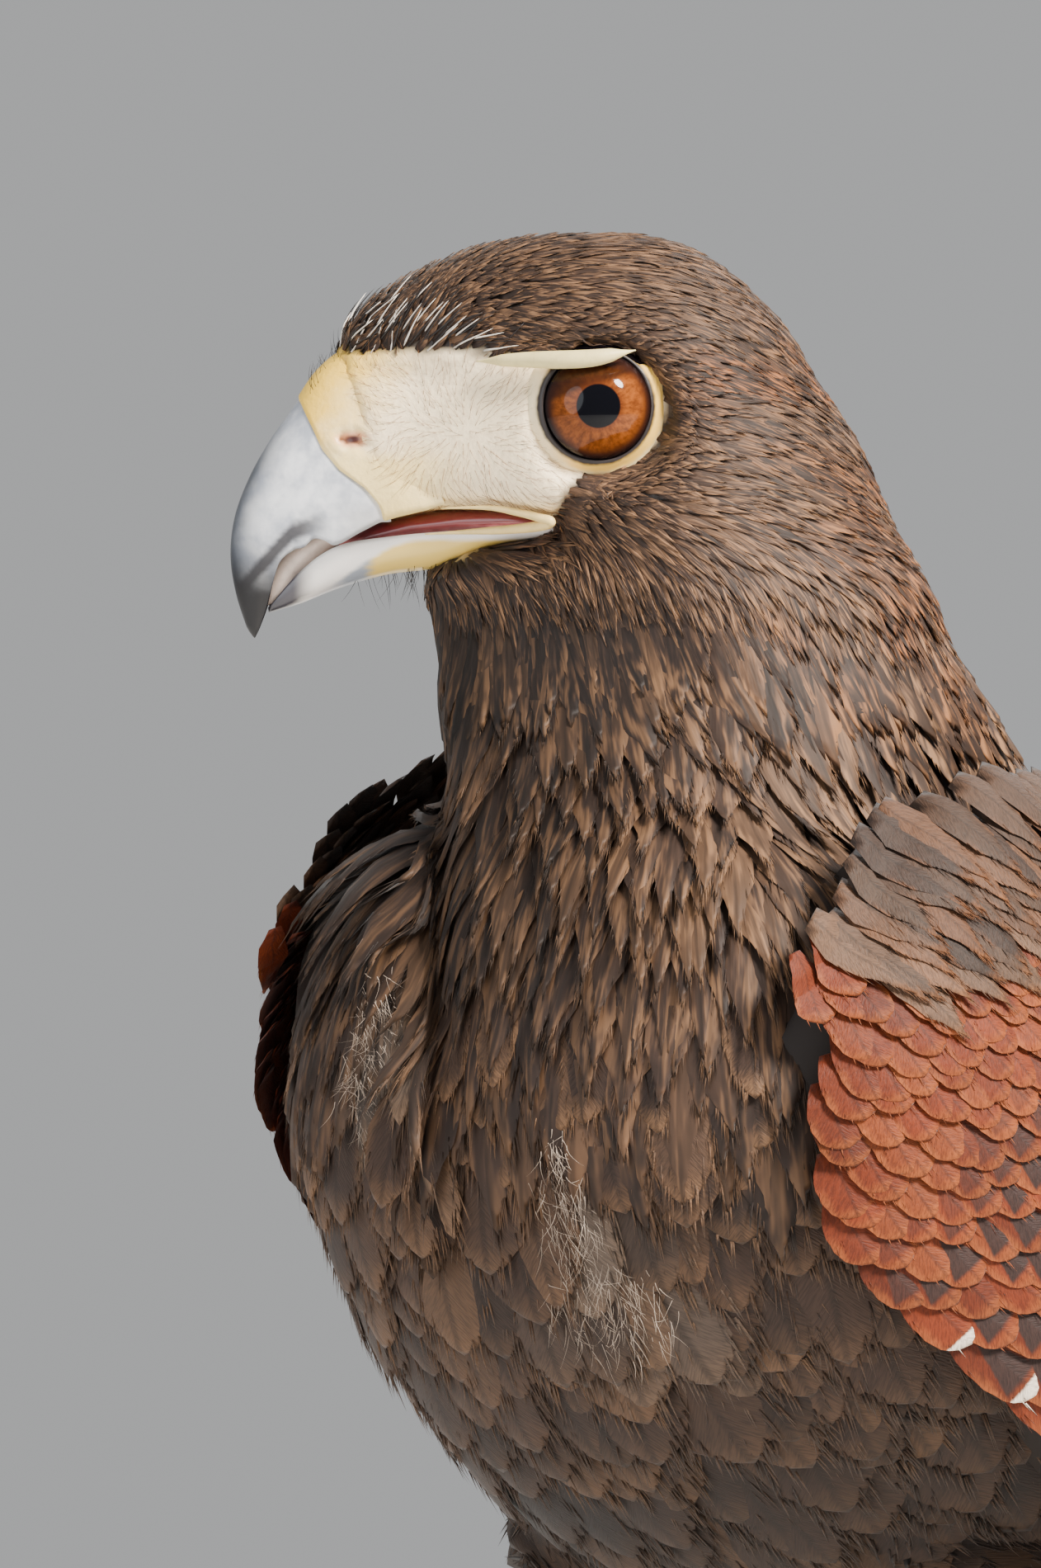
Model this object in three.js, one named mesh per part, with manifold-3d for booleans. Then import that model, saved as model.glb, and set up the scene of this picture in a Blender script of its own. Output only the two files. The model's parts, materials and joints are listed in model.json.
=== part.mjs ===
// A Harris's hawk (Parabuteo unicinctus), adult female, life size, standing with its head turned right.
// Millimetres, +Z up. The breast faces -Y and the bird's left side is +X.
import * as THREE from 'three';
import { mergeVertices } from 'three/addons/utils/BufferGeometryUtils.js';
import Module from 'manifold-3d';

const wasm = await Module();
wasm.setup();

// Driving dimensions
const EYE_HEIGHT = 355;
const HEAD_TURN = THREE.MathUtils.degToRad(45);
const HEAD_AT = new THREE.Vector3(-8.5, -8.5, EYE_HEIGHT);
const EYE_RADIUS = 9.2;
const EYE_SIDE = 12.1;
const EYE_FORWARD = 0.1;
const EYE_UP = 0.4;
const GAP = 0.3;
const WING_SLOPE = THREE.MathUtils.degToRad(36.5);
const WING_ROOT = { y: -5.5, z: 279 };
const WING_LENGTH = 350;
const TAIL_SLOPE = THREE.MathUtils.degToRad(33);
const TAIL_ROOT = { y: 110, z: 152 };
const TAIL_LENGTH = 222;
const FOOT = { x: 33, y: 46, hub: 9 };
const HUB_DROP = 1.2;
const CENTRE_Y = 124.25;

const up = new THREE.Vector3(0, 0, 1);
const point = (x, y, z) => new THREE.Vector3(x, y, z);
const degrees = THREE.MathUtils.degToRad;

// Materials
const paint = (color, roughness, metalness = 0) =>
  new THREE.MeshStandardMaterial({ color, roughness, metalness, flatShading: true });
const brown = paint(0x3d2c23, 0.85);
const rufous = paint(0x8a4522, 0.8);
const tailBrown = paint(0x241b17, 0.75);
const ivory = paint(0xe8dcc0, 0.7);
const yellow = paint(0xe3c25a, 0.55);
const horn = paint(0x8f989f, 0.35);
const black = paint(0x1b1a1c, 0.35);
const pink = paint(0xb5605c, 0.5);
const iris = paint(0x6b3212, 0.08);

// Smooth values between hand-set rows, each [place, value, value ...], by a cubic through them
function between(rows) {
  const slope = (i, k) => {
    const low = Math.max(i - 1, 0);
    const high = Math.min(i + 1, rows.length - 1);
    return (rows[high][k] - rows[low][k]) / (rows[high][0] - rows[low][0]);
  };
  return (place) => {
    let i = 0;
    while (i < rows.length - 2 && place > rows[i + 1][0]) i += 1;
    const step = rows[i + 1][0] - rows[i][0];
    const t = THREE.MathUtils.clamp((place - rows[i][0]) / step, 0, 1);
    const values = [];
    for (let k = 1; k < rows[i].length; k += 1) {
      const a = rows[i][k];
      const b = rows[i + 1][k];
      values.push(
        a * (1 + 2 * t) * (1 - t) ** 2 + b * t * t * (3 - 2 * t) +
        step * (slope(i, k) * t * (1 - t) ** 2 - slope(i + 1, k) * t * t * (1 - t)),
      );
    }
    return values;
  };
}

// A repeatable random number from 0 to 1
function seeded(seed) {
  let state = seed;
  return () => {
    state = (state * 16807) % 2147483647;
    return state / 2147483647;
  };
}

// Geometry from points and triangles, turned so that its faces point out
function closedGeometry(points, triangles) {
  let volume = 0;
  for (const [a, b, c] of triangles) volume += points[a].dot(points[b].clone().cross(points[c]));
  const facing = volume < 0 ? triangles.map(([a, b, c]) => [a, c, b]) : triangles;
  const geometry = new THREE.BufferGeometry().setFromPoints(points);
  geometry.setIndex(facing.flat());
  return geometry;
}

// A closed skin over rings of points, with a point at the middle of each end
function loft(rings) {
  const count = rings[0].length;
  const points = rings.flat();
  const triangles = [];
  for (let i = 0; i < rings.length - 1; i += 1) {
    for (let j = 0; j < count; j += 1) {
      const a = i * count + j;
      const b = i * count + ((j + 1) % count);
      triangles.push([a, b, b + count], [a, b + count, a + count]);
    }
  }
  for (const [ring, turn] of [[0, 1], [rings.length - 1, -1]]) {
    const middle = rings[ring].reduce((sum, p) => sum.add(p), point(0, 0, 0)).divideScalar(count);
    points.push(middle);
    for (let j = 0; j < count; j += 1) {
      const a = ring * count + j;
      const b = ring * count + ((j + 1) % count);
      triangles.push(turn > 0 ? [b, a, points.length - 1] : [a, b, points.length - 1]);
    }
  }
  return closedGeometry(points, triangles);
}

// A round-sectioned body along a path, with one radius, or a pair, at each of its points
function limb(path, radii, sides, across = up) {
  const rings = path.map((centre, i) => {
    const ahead = path[Math.min(i + 1, path.length - 1)];
    const behind = path[Math.max(i - 1, 0)];
    const along = ahead.clone().sub(behind).normalize();
    const side = along.clone().cross(across).normalize();
    const over = side.clone().cross(along).normalize();
    const [wide, tall] = Array.isArray(radii[i]) ? radii[i] : [radii[i], radii[i]];
    return Array.from({ length: sides }, (_, j) => {
      const turn = (2 * Math.PI * (j + 0.5)) / sides;
      const aside = side.clone().multiplyScalar(wide * Math.cos(turn));
      return centre.clone().add(aside).addScaledVector(over, tall * Math.sin(turn));
    });
  });
  return loft(rings);
}

// One feather: a thin body of three columns, placed by a rule that turns (along, across, lift) into a point
const VANE_SHAPE = [[0, 0.45], [0.3, 0.92], [0.76, 0.94], [1, 0.3]];
const QUILL_SHAPE = [[0, 0.35], [0.2, 0.85], [0.5, 1], [0.82, 0.92], [1, 0.26]];
const EDGE_THICK = 0.5;
const MIDDLE_THICK = 0.8;

function vane(place, length, width, shape = VANE_SHAPE) {
  const points = [];
  for (const face of [1, -1]) {
    for (const [t, share] of shape) {
      for (const side of [-1, 0, 1]) {
        const thick = side === 0 ? MIDDLE_THICK : EDGE_THICK;
        points.push(place(t * length, (side * share * width) / 2, (face * thick) / 2, t));
      }
    }
  }
  const rows = shape.length;
  const back = rows * 3;
  const triangles = [];
  const quad = (a, b, c, d) => triangles.push([a, b, c], [a, c, d]);
  for (let i = 0; i < rows - 1; i += 1) {
    const a = i * 3;
    for (const j of [0, 1]) {
      quad(a + j, a + j + 1, a + j + 4, a + j + 3);
      triangles.push([back + a + j, back + a + j + 4, back + a + j + 1]);
      triangles.push([back + a + j, back + a + j + 3, back + a + j + 4]);
    }
    quad(a, a + 3, back + a + 3, back + a);
    quad(a + 2, back + a + 2, back + a + 5, a + 5);
  }
  const last = (rows - 1) * 3;
  for (const j of [0, 1]) {
    quad(j, back + j, back + j + 1, j + 1);
    quad(last + j, last + j + 1, back + last + j + 1, back + last + j);
  }
  return closedGeometry(points, triangles);
}

// Joining and cutting
function solid(geometry) {
  const bare = geometry.clone();
  bare.deleteAttribute('normal');
  bare.deleteAttribute('uv');
  const merged = mergeVertices(bare, 1e-4);
  return new wasm.Manifold(new wasm.Mesh({
    numProp: 3,
    vertProperties: new Float32Array(merged.attributes.position.array),
    triVerts: new Uint32Array(merged.index.array),
  }));
}

function geometryOf(body) {
  const mesh = body.getMesh();
  const geometry = new THREE.BufferGeometry();
  geometry.setAttribute('position', new THREE.BufferAttribute(new Float32Array(mesh.vertProperties), 3));
  geometry.setIndex(new THREE.BufferAttribute(new Uint32Array(mesh.triVerts), 1));
  return geometry;
}

const join = (bodies) => bodies.reduce((sum, body) => sum.add(body));
const MERGE_WITHIN = 0.05;
const WING_MERGE = 0.06;
const largest = (body) => body.decompose().sort((a, b) => b.volume() - a.volume())[0];
const tidied = (body, within = MERGE_WITHIN) => largest(body).asOriginal().simplify(within);
const moved = (body, matrix) => solid(geometryOf(body).applyMatrix4(matrix));

// The other side of the body: the same form with x turned round
function mirrored(body) {
  const geometry = geometryOf(body);
  geometry.scale(-1, 1, 1);
  const index = geometry.index.array;
  for (let i = 0; i < index.length; i += 3) [index[i + 1], index[i + 2]] = [index[i + 2], index[i + 1]];
  return solid(geometry);
}

// A big block whose top face passes through a point with the given normal: what lies below that plane
function below(at, normal, size = 400) {
  const block = new THREE.BoxGeometry(size, size, size).translate(0, 0, -size / 2);
  const turn = new THREE.Quaternion().setFromUnitVectors(up, normal.clone().normalize());
  return solid(block.applyQuaternion(turn).translate(at.x, at.y, at.z));
}

// The head's own frame: x runs forward along the bill, y to the bird's left, z up, from between the eyes
const headMatrix = new THREE.Matrix4()
  .makeRotationZ(Math.PI + HEAD_TURN)
  .setPosition(HEAD_AT);
const headInverse = headMatrix.clone().invert();

// Skull and neck: level sections from the crown down, in the head's frame.
// Rows: height, front, back, widest place, half width, pinch of the front.
const HEAD_LEVELS = [
  [-26, 22.4, -44.0, -11.5, 26.5, 0.45],
  [-22, 21.6, -41.9, -11, 25.2, 0.42],
  [-19.5, 14.0, -40.4, -11, 24.4, 0.3],
  [-16, 8.6, -38.3, -10, 23.4, 0.1],
  [-10, 8.5, -35.6, -9, 22.3, 0],
  [-4, 11, -33.2, -7, 21.4, 0.05],
  [2.6, 20, -28.9, -5, 20.2, 0.2],
  [6, 32.6, -27.0, -4, 19.6, 0.36],
  [10, 33.4, -24.7, -3, 18.6, 0.33],
  [14.7, 28.6, -20.5, -1, 15.8, 0.22],
  [19, 20.6, -15.2, 0, 11.6, 0.1],
  [21.4, 13.4, -9.6, 0.6, 7.2, 0],
  [22.5, 6.5, -4.6, 0.8, 3.1, 0],
];
// Rows: height, middle x, middle y, front, back, half width, pinch, turn of the section in degrees
const NECK_LEVELS = [
  [262, 0, 4, 38, 40, 38, 0, 0],
  [272, 0, 3, 39, 46, 38, 0, 2],
  [286, 0, 1, 38.5, 52, 36.5, 0.04, 6],
  [300, 0, 0, 37, 52, 34.5, 0.1, 14],
  [312, 0, 0.6, 35.5, 43, 32, 0.2, 26],
  [322, -0.4, 0.2, 35, 36.5, 29.4, 0.34, 38],
  [329, -0.4, -0.4, 33.9, 32.5, 26.5, 0.45, 45],
];

// One level section: an oval, longer or shorter to the front, and narrowed there by pinch
function oval(centre, front, back, half, pinch, turn, sides) {
  const forward = point(-Math.sin(turn), -Math.cos(turn), 0);
  const left = point(Math.cos(turn), -Math.sin(turn), 0);
  return Array.from({ length: sides }, (_, j) => {
    const angle = (2 * Math.PI * j) / sides;
    const c = Math.cos(angle);
    const reach = c > 0 ? front * c : back * c;
    const aside = half * Math.sin(angle) * (1 - pinch * Math.max(c, 0));
    return centre.clone().addScaledVector(forward, reach).addScaledVector(left, aside);
  });
}

const COLUMN_SIDES = 24;
const NECK_HEIGHTS = [262, 274, 288, 301, 311, 319, 326];
const HEAD_HEIGHTS = [-24, -20.6, -17.6, -12, -5, 1.5, 4.6, 6.4, 10, 14.2, 17.8, 20.4, 22.2];

function skullAndNeck(grow = 0) {
  const forward = point(-Math.sin(HEAD_TURN), -Math.cos(HEAD_TURN), 0);
  const neck = between(NECK_LEVELS);
  const head = between(HEAD_LEVELS);
  const rings = [];
  for (const z of NECK_HEIGHTS) {
    const [x, y, front, back, half, pinch, turn] = neck(z);
    const reach = [front + grow, back + grow, half + grow];
    rings.push(oval(point(x, y, z), ...reach, pinch, degrees(turn), COLUMN_SIDES));
  }
  for (const w of HEAD_HEIGHTS) {
    const [front, back, widest, half, pinch] = head(w);
    const centre = HEAD_AT.clone().addScaledVector(forward, widest).add(point(0, 0, w));
    const reach = [front - widest + grow, widest - back + grow, half + grow];
    rings.push(oval(centre, ...reach, pinch, HEAD_TURN, COLUMN_SIDES));
  }
  return solid(loft(rings));
}

// Upper jaw from the lores to the hook, in the head's frame.
// Rows: step, top x, top z, edge x, edge z, half width, roundness of the ridge
const UPPER_JAW = [
  [0, -6, 9, -6, -13.6, 18.6, 0.3],
  [1, 6, 9.6, 6, -13.9, 18.8, 0.3],
  [2, 15, 9.4, 14, -12.8, 15.0, 0.45],
  [3, 24.5, 8.6, 21.5, -13.1, 11.2, 0.65],
  [4, 31.6, 8.2, 26.4, -13.9, 9.6, 0.82],
  [5, 35.8, 4.6, 30.0, -15.4, 8.7, 0.9],
  [6, 38.8, 0.2, 33.2, -17.0, 7.8, 0.92],
  [7, 41.8, -4.0, 36.0, -17.7, 6.9, 0.92],
  [8, 44.4, -8.6, 38.6, -17.9, 5.9, 0.92],
  [9, 46.3, -13.6, 40.3, -19.6, 4.8, 0.92],
  [10, 46.9, -18.6, 41.2, -22.2, 3.7, 0.92],
  [11, 46.2, -23.6, 41.9, -25.2, 2.4, 0.92],
  [12, 44.5, -28.9, 43.1, -29.1, 0.8, 0.92],
];
// Lower jaw, in the same way
const LOWER_JAW = [
  [0, 3, -14.9, 3, -19.6, 10.8, 0.4],
  [1, 12, -14.7, 12, -20.2, 9.2, 0.4],
  [2, 20, -15.0, 20, -20.4, 7.9, 0.4],
  [3, 27, -16.0, 27, -21.0, 6.7, 0.4],
  [4, 33, -17.4, 33.2, -23.0, 5.3, 0.4],
  [5, 37.6, -20.4, 37.8, -24.8, 3.6, 0.4],
  [6, 42.2, -25.5, 42.1, -26.1, 1.3, 0.4],
];
// The chin under it, and the tongue that fills the mouth between the jaws
const CHIN = [
  [0, -4, -15.6, -4, -27, 16, 0.6],
  [1, 8, -16.4, 8, -26.5, 12.5, 0.6],
  [2, 16, -18.0, 16, -25.4, 9.4, 0.6],
  [3, 22.4, -20.0, 22.2, -24, 6.8, 0.6],
];
const TONGUE = [
  [0, 6, -13.7, 6, -14.9, 9.2, 0.5],
  [1, 13, -12.7, 13, -15.4, 7.6, 0.5],
  [2, 20, -12.8, 20, -15.7, 6.2, 0.5],
  [3, 27, -14.0, 27, -16.6, 4.8, 0.5],
  [4, 33.5, -16.8, 33.5, -18.2, 3.0, 0.5],
];

// A jaw's section runs from its cutting edge to its ridge: square at the edge and round over the ridge
function jaw(rows, steps, sides, edgeHeight, edgeRound, grow = 0) {
  const row = between(rows);
  const rings = [];
  for (let i = 0; i <= steps; i += 1) {
    const [tx, topZ, ex, edgeZ, width, ridgeRound] = row((rows[rows.length - 1][0] * i) / steps);
    const [tz, ez, half] = [topZ + grow, edgeZ - grow, width + grow];
    rings.push(Array.from({ length: sides }, (_, j) => {
      const angle = (2 * Math.PI * (j + 0.5)) / sides;
      const s = Math.sin(angle);
      const c = Math.cos(angle);
      const rise = s > 0
        ? edgeHeight + (1 - edgeHeight) * s
        : edgeHeight + edgeHeight * Math.sign(s) * Math.abs(s) ** edgeRound;
      const round = s > 0 ? ridgeRound : edgeRound;
      const aside = half * Math.sign(c) * Math.abs(c) ** round;
      return point(ex + (tx - ex) * rise, aside, ez + (tz - ez) * rise);
    }));
  }
  return solid(loft(rings));
}

const upperJaw = () => jaw(UPPER_JAW, 21, 16, 0.24, 0.5);
const lowerJaw = (rows, grow = 0) => jaw(rows, 10, 12, 0.6, 0.8, grow);

// A thin upright curtain across the head that follows points of the side view, used as a cut
function curtain(outline, thick = GAP) {
  const line = outline.map(([x, z]) => new THREE.Vector2(x, z));
  const shifted = (side) => line.map((p, i) => {
    const along = line[Math.min(i + 1, line.length - 1)].clone().sub(line[Math.max(i - 1, 0)]).normalize();
    return new THREE.Vector2(p.x - (along.y * side * thick) / 2, p.y + (along.x * side * thick) / 2);
  });
  const shape = new THREE.Shape([...shifted(1), ...shifted(-1).reverse()]);
  const wall = new THREE.ExtrudeGeometry(shape, { depth: 80, bevelEnabled: false });
  return solid(wall.translate(0, 0, -40).rotateX(Math.PI / 2));
}

// Where horn meets cere, and cere meets face, seen from the side
const HORN_LINE = [
  [41, 6], [37.9, 0.4], [36.4, -2.6], [35.2, -5.2], [33.0, -7.8], [29.6, -10.2], [27.6, -12.6], [26, -18],
];
const CERE_LINE = [[36, 14], [33.4, 7], [28, 0], [24.6, -7], [21, -18]];

// Eyes look almost straight out to each side
const eyeCentre = (side) => point(EYE_FORWARD, side * EYE_SIDE, EYE_UP);
const LID_SIDE = 17.6;
const LID_RADIUS = 8.0;

function aroundEye(side) {
  const funnel = new THREE.CylinderGeometry(11, LID_RADIUS - 0.4, 5, 22).rotateX(side > 0 ? 0 : Math.PI);
  return solid(funnel.translate(EYE_FORWARD, side * (LID_SIDE - 0.2 + 2.5), EYE_UP));
}

function lidRing(side) {
  const ring = new THREE.TorusGeometry(LID_RADIUS, 1.05, 6, 22).rotateX(Math.PI / 2);
  return solid(ring.translate(EYE_FORWARD, side * LID_SIDE, EYE_UP));
}

// The bony shield over each eye
function brow(side) {
  const path = [
    point(17, side * 12.4, 6.2), point(11, side * 15.6, 6.3), point(5, side * 18.2, 6.5),
    point(-1, side * 19.4, 7.2), point(-6, side * 19.4, 8.3), point(-10, side * 18.0, 9.3),
  ];
  return solid(limb(path, [[1, 1], [2.2, 1.6], [2.9, 1.9], [2.8, 1.9], [2.2, 1.8], [1, 1]], 8));
}

function nostril(side) {
  const hole = new THREE.SphereGeometry(1, 8, 6).scale(1.9, 2.2, 0.8).rotateY(degrees(8));
  return solid(hole.translate(31.1, side * 9.2, -3.9));
}

// The torso: sections across a spine that runs down and back.
// Rows: step, spine y, spine z, half width, depth to the breast, depth to the back
const TORSO = [
  [0, -6, 305, 24, 18, 24],
  [1, -8, 292, 46, 34, 42],
  [2, -4, 272, 54, 43, 50],
  [3, 10, 249, 54, 43, 50],
  [4, 32, 228, 51, 38, 47],
  [5, 56, 208, 48, 35, 41],
  [6, 79, 186, 42, 33, 34],
  [7, 99, 165, 32, 25, 26],
  [8, 114, 147, 20, 15, 16],
];
const TORSO_SQUARE = 0.9;
const TORSO_SIDES = 26;
const TORSO_STEPS = [0, 0.6, 1.2, 1.9, 2.6, 3.3, 4, 4.7, 5.4, 6.1, 6.8, 7.4, 8];

function torsoPoint(step, angle, lift = 0) {
  const row = between(TORSO);
  const [y, z, half, breast, backing] = row(step);
  const [y0, z0] = row(Math.max(step - 0.1, 0));
  const [y1, z1] = row(Math.min(step + 0.1, TORSO.length - 1));
  const along = new THREE.Vector2(y1 - y0, z1 - z0).normalize();
  const c = Math.cos(angle);
  const s = Math.sin(angle);
  const depth = (c > 0 ? breast : backing) + lift;
  const reach = depth * Math.sign(c) * Math.abs(c) ** TORSO_SQUARE;
  const aside = (half + lift) * Math.sign(s) * Math.abs(s) ** TORSO_SQUARE;
  return point(aside, y + along.y * reach, z - along.x * reach);
}

function torsoSolid(grow = 0) {
  const rings = [];
  for (const step of TORSO_STEPS) {
    const turn = (j) => (2 * Math.PI * (j + 0.5)) / TORSO_SIDES;
    rings.push(Array.from({ length: TORSO_SIDES }, (_, j) => torsoPoint(step, turn(j), grow)));
  }
  return solid(loft(rings));
}

// The folded wing is a sheet outside the body: a runs from the wrist to the tip and c up across it.
// The left one hangs a little free of the breast and the right one is tucked in.
// Rows: a, outer x, wrap in of the upper edge, of the left lower edge, of the right lower edge,
// reach down, reach up, half thickness
const WING_ROWS = [
  [-20, 48, 9, 9, 9, 9, 8, 4],
  [-14, 54, 11, 20, 14, 21, 18, 8],
  [-4, 59, 14, 18, 22, 31, 27, 12],
  [12, 62.5, 20, 12, 26, 35, 33, 13],
  [40, 65, 28, 8, 20, 36, 38, 11.5],
  [80, 64, 32, 6, 13, 35, 40, 9],
  [120, 59.5, 32, 6, 9, 33, 38, 6.5],
  [160, 51, 30, 5, 6, 29, 32, 4.5],
  [195, 43, 24, 4, 4, 24, 25, 3],
  [240, 34.5, 16, 3, 3, 18, 18, 2],
  [300, 25, 8, 3, 3, 12, 11, 2],
  [350, 19, 5, 2, 2, 8, 7, 2],
];
const wingRow = between(WING_ROWS);
const WRAP_AT = 40;
const CORE_INSET = 1.8;
const CORE_END = 200;
const CORE_SIDES = 14;
const CORE_STEPS = [-18, -13, -5, 8, 26, 50, 80, 115, 150, 178, CORE_END];

// A point beside the body: a along the wing, c across it, x out to the side
function besideBody(a, c, x) {
  return point(
    x,
    WING_ROOT.y + a * Math.cos(WING_SLOPE) + c * Math.sin(WING_SLOPE),
    WING_ROOT.z - a * Math.sin(WING_SLOPE) + c * Math.cos(WING_SLOPE),
  );
}

function wingOuter(a, c, tucked) {
  const [outer, wrapUp, wrapFree, wrapTucked] = wingRow(a);
  const wrapDown = tucked ? wrapTucked : wrapFree;
  return outer - (c > 0 ? wrapUp : wrapDown) * (c / WRAP_AT) ** 2;
}

function wingPoint(a, c, lift, tucked) {
  const here = besideBody(a, c, wingOuter(a, c, tucked));
  const alongA = besideBody(a + 0.5, c, wingOuter(a + 0.5, c, tucked)).sub(here);
  const alongC = besideBody(a, c + 0.5, wingOuter(a, c + 0.5, tucked)).sub(here);
  const out = alongC.cross(alongA).normalize();
  if (out.x < 0) out.negate();
  return here.addScaledVector(out, lift);
}

function wingCore(tucked) {
  const rings = [];
  for (const a of CORE_STEPS) {
    const [, , , , low, high, thick] = wingRow(a);
    const narrowed = a === CORE_END ? 0.3 : 1;
    rings.push(Array.from({ length: CORE_SIDES }, (_, j) => {
      const angle = (2 * Math.PI * (j + 0.5)) / CORE_SIDES;
      const c = narrowed * (Math.sin(angle) > 0 ? high : low) * Math.sin(angle);
      return besideBody(a, c, wingOuter(a, c, tucked) - CORE_INSET - thick + thick * Math.cos(angle));
    }));
  }
  return solid(loft(rings));
}

// Rows of coverts and flight feathers. a and c give the first and last root of a row.
const SHINGLE = -0.14;
const COVERT_ROWS = [
  { count: 4, a: [-8, -8], c: [-16, 15], length: 34, width: 16, fan: [-3, 10] },
  { count: 5, a: [11, 13], c: [-24, 24], length: 40, width: 20, fan: [0, 8] },
  { count: 5, a: [34, 38], c: [-26, 27], length: 46, width: 22, fan: [1, 5] },
  { count: 6, a: [62, 66], c: [-27, 30], length: 62, width: 22, fan: [1, 2] },
];
const SCAPULAR_ROWS = [
  { count: 3, a: [14, 34], c: [31, 36], length: 50, width: 19, fan: [4, 2] },
  { count: 3, a: [52, 84], c: [36, 37], length: 66, width: 21, fan: [1, -3] },
];
const SECONDARIES = {
  count: 8, a: [96, 118], c: [-26, 29], tips: [196, 262], tipC: [-18, 16], width: 25, level: [-4.4, 0.6],
};
const PRIMARIES = {
  count: 6, a: [140, 165], c: [-16, 0], tips: [258, WING_LENGTH], tipC: [-10, 0], width: 22,
  level: [-5.6, -11.6],
};
const lerp = THREE.MathUtils.lerp;

function wingVane(tucked, a, c, length, width, turn, lifts, shape) {
  const cos = Math.cos(turn);
  const sin = Math.sin(turn);
  const lift = between([[0, lifts[0]], [0.25, lifts[1]], [1, lifts[2]]]);
  const place = (along, across, face, t) => wingPoint(
    a + along * cos - across * sin,
    c + along * sin + across * cos,
    lift(t)[0] + face + across * SHINGLE,
    tucked,
  );
  return solid(vane(place, length, width, shape));
}

function wingFeathers(tucked) {
  const random = seeded(11);
  const vary = (share) => 1 + share * (random() - 0.5);
  const feathers = [];
  for (const row of [...COVERT_ROWS, ...SCAPULAR_ROWS]) {
    for (let i = 0; i < row.count; i += 1) {
      const t = i / (row.count - 1);
      feathers.push(wingVane(
        tucked, lerp(row.a[0], row.a[1], t) + 3 * (random() - 0.5), lerp(row.c[0], row.c[1], t),
        row.length * vary(0.14), row.width * vary(0.1), degrees(lerp(row.fan[0], row.fan[1], t)),
        [-5, 0.4, 4], VANE_SHAPE,
      ));
    }
  }
  for (const row of [SECONDARIES, PRIMARIES]) {
    for (let i = 0; i < row.count; i += 1) {
      const t = i / (row.count - 1);
      const a = lerp(row.a[0], row.a[1], t);
      const c = lerp(row.c[0], row.c[1], t);
      const reach = lerp(row.tips[0], row.tips[1], t ** 0.8) - a;
      const drop = lerp(row.tipC[0], row.tipC[1], t) - c;
      const level = lerp(row.level[0], row.level[1], t);
      feathers.push(wingVane(
        tucked, a, c, Math.hypot(reach, drop), row.width * vary(0.06), Math.atan2(drop, reach),
        [level - 1.5, level, level], QUILL_SHAPE,
      ));
    }
  }
  return feathers;
}

// The tail: a root block and twelve feathers that fan a little, the middle pair on top
const TAIL_PAIRS = 6;
const TAIL_WIDTH = 25;
const TAIL_BLOCK = [[0, 20, 14], [8, 20.5, 13.6], [20, 19.5, 11.5], [34, 17, 8.5], [48, 13, 5]];
const TAIL_BLOCK_SIDES = 16;
const COVERT_PAIRS = 3;
const COVERT_WIDTH = 17;

function tailPoint(along, across, lift) {
  const sag = -9 * (along / TAIL_LENGTH) ** 2;
  const arch = -0.004 * across * across;
  const h = lift + arch + sag;
  return point(
    across,
    TAIL_ROOT.y + along * Math.cos(TAIL_SLOPE) + h * Math.sin(TAIL_SLOPE),
    TAIL_ROOT.z - along * Math.sin(TAIL_SLOPE) + h * Math.cos(TAIL_SLOPE),
  );
}

function tailFeather(side, pair) {
  const root = side * (3 + pair * 2.8);
  const turn = side * degrees(0.4 + pair * 0.75);
  const length = TAIL_LENGTH * (1 - 0.006 * pair * pair);
  const order = pair < 3 ? pair * 2 + (side > 0 ? 0 : 1) : pair + 3;
  const level = 3 - 1.08 * order;
  const place = (along, across, face) => tailPoint(
    along * Math.cos(turn) - across * Math.sin(turn),
    root + along * Math.sin(turn) + across * Math.cos(turn),
    level + face,
  );
  return solid(vane(place, length, TAIL_WIDTH, QUILL_SHAPE));
}

function tailCovert(side, index, above) {
  const root = side * (3 + index * 6.4);
  const turn = side * degrees(1 + index * 2.2);
  const length = (above ? 62 : 84) - index * 6;
  const start = above ? 10 : 9;
  const end = above ? 5.5 + index * -0.8 : -9.5 + index * 0.5;
  const place = (along, across, face, t) => tailPoint(
    -6 + along * Math.cos(turn) - across * Math.sin(turn),
    root + along * Math.sin(turn) + across * Math.cos(turn),
    lerp(above ? start : -start - 1.5, end, t) + face,
  );
  return solid(vane(place, length, COVERT_WIDTH));
}

function tailSolid() {
  const rings = TAIL_BLOCK.map(([along, half, tall]) => Array.from({ length: TAIL_BLOCK_SIDES }, (_, j) => {
    const angle = (2 * Math.PI * (j + 0.5)) / TAIL_BLOCK_SIDES;
    return tailPoint(along, half * Math.cos(angle), tall * Math.sin(angle) - 1);
  }));
  const pieces = [solid(loft(rings))];
  for (let pair = 0; pair < TAIL_PAIRS; pair += 1) {
    for (const side of [1, -1]) pieces.push(tailFeather(side, pair));
  }
  for (let index = 0; index < COVERT_PAIRS; index += 1) {
    for (const side of [1, -1]) pieces.push(tailCovert(side, index, true), tailCovert(side, index, false));
  }
  return join(pieces);
}

// Legs. Rows of the feathered thigh: x, y, z, half width, half depth
const THIGH = [
  [27, 30, 226, 13, 20], [29, 31, 212, 19, 28], [31, 34, 195, 21, 30], [33, 40, 174, 20.5, 27],
  [34, 47, 152, 17.5, 22], [34.5, 54, 130, 14, 17], [34.5, 59, 113, 11, 12.5], [34.5, 62, 101, 8.2, 8.6],
];
const THIGH_END = 101;
const THIGH_SIDES = 16;
const HOCK = point(34.5, 63.5, 93);

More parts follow.
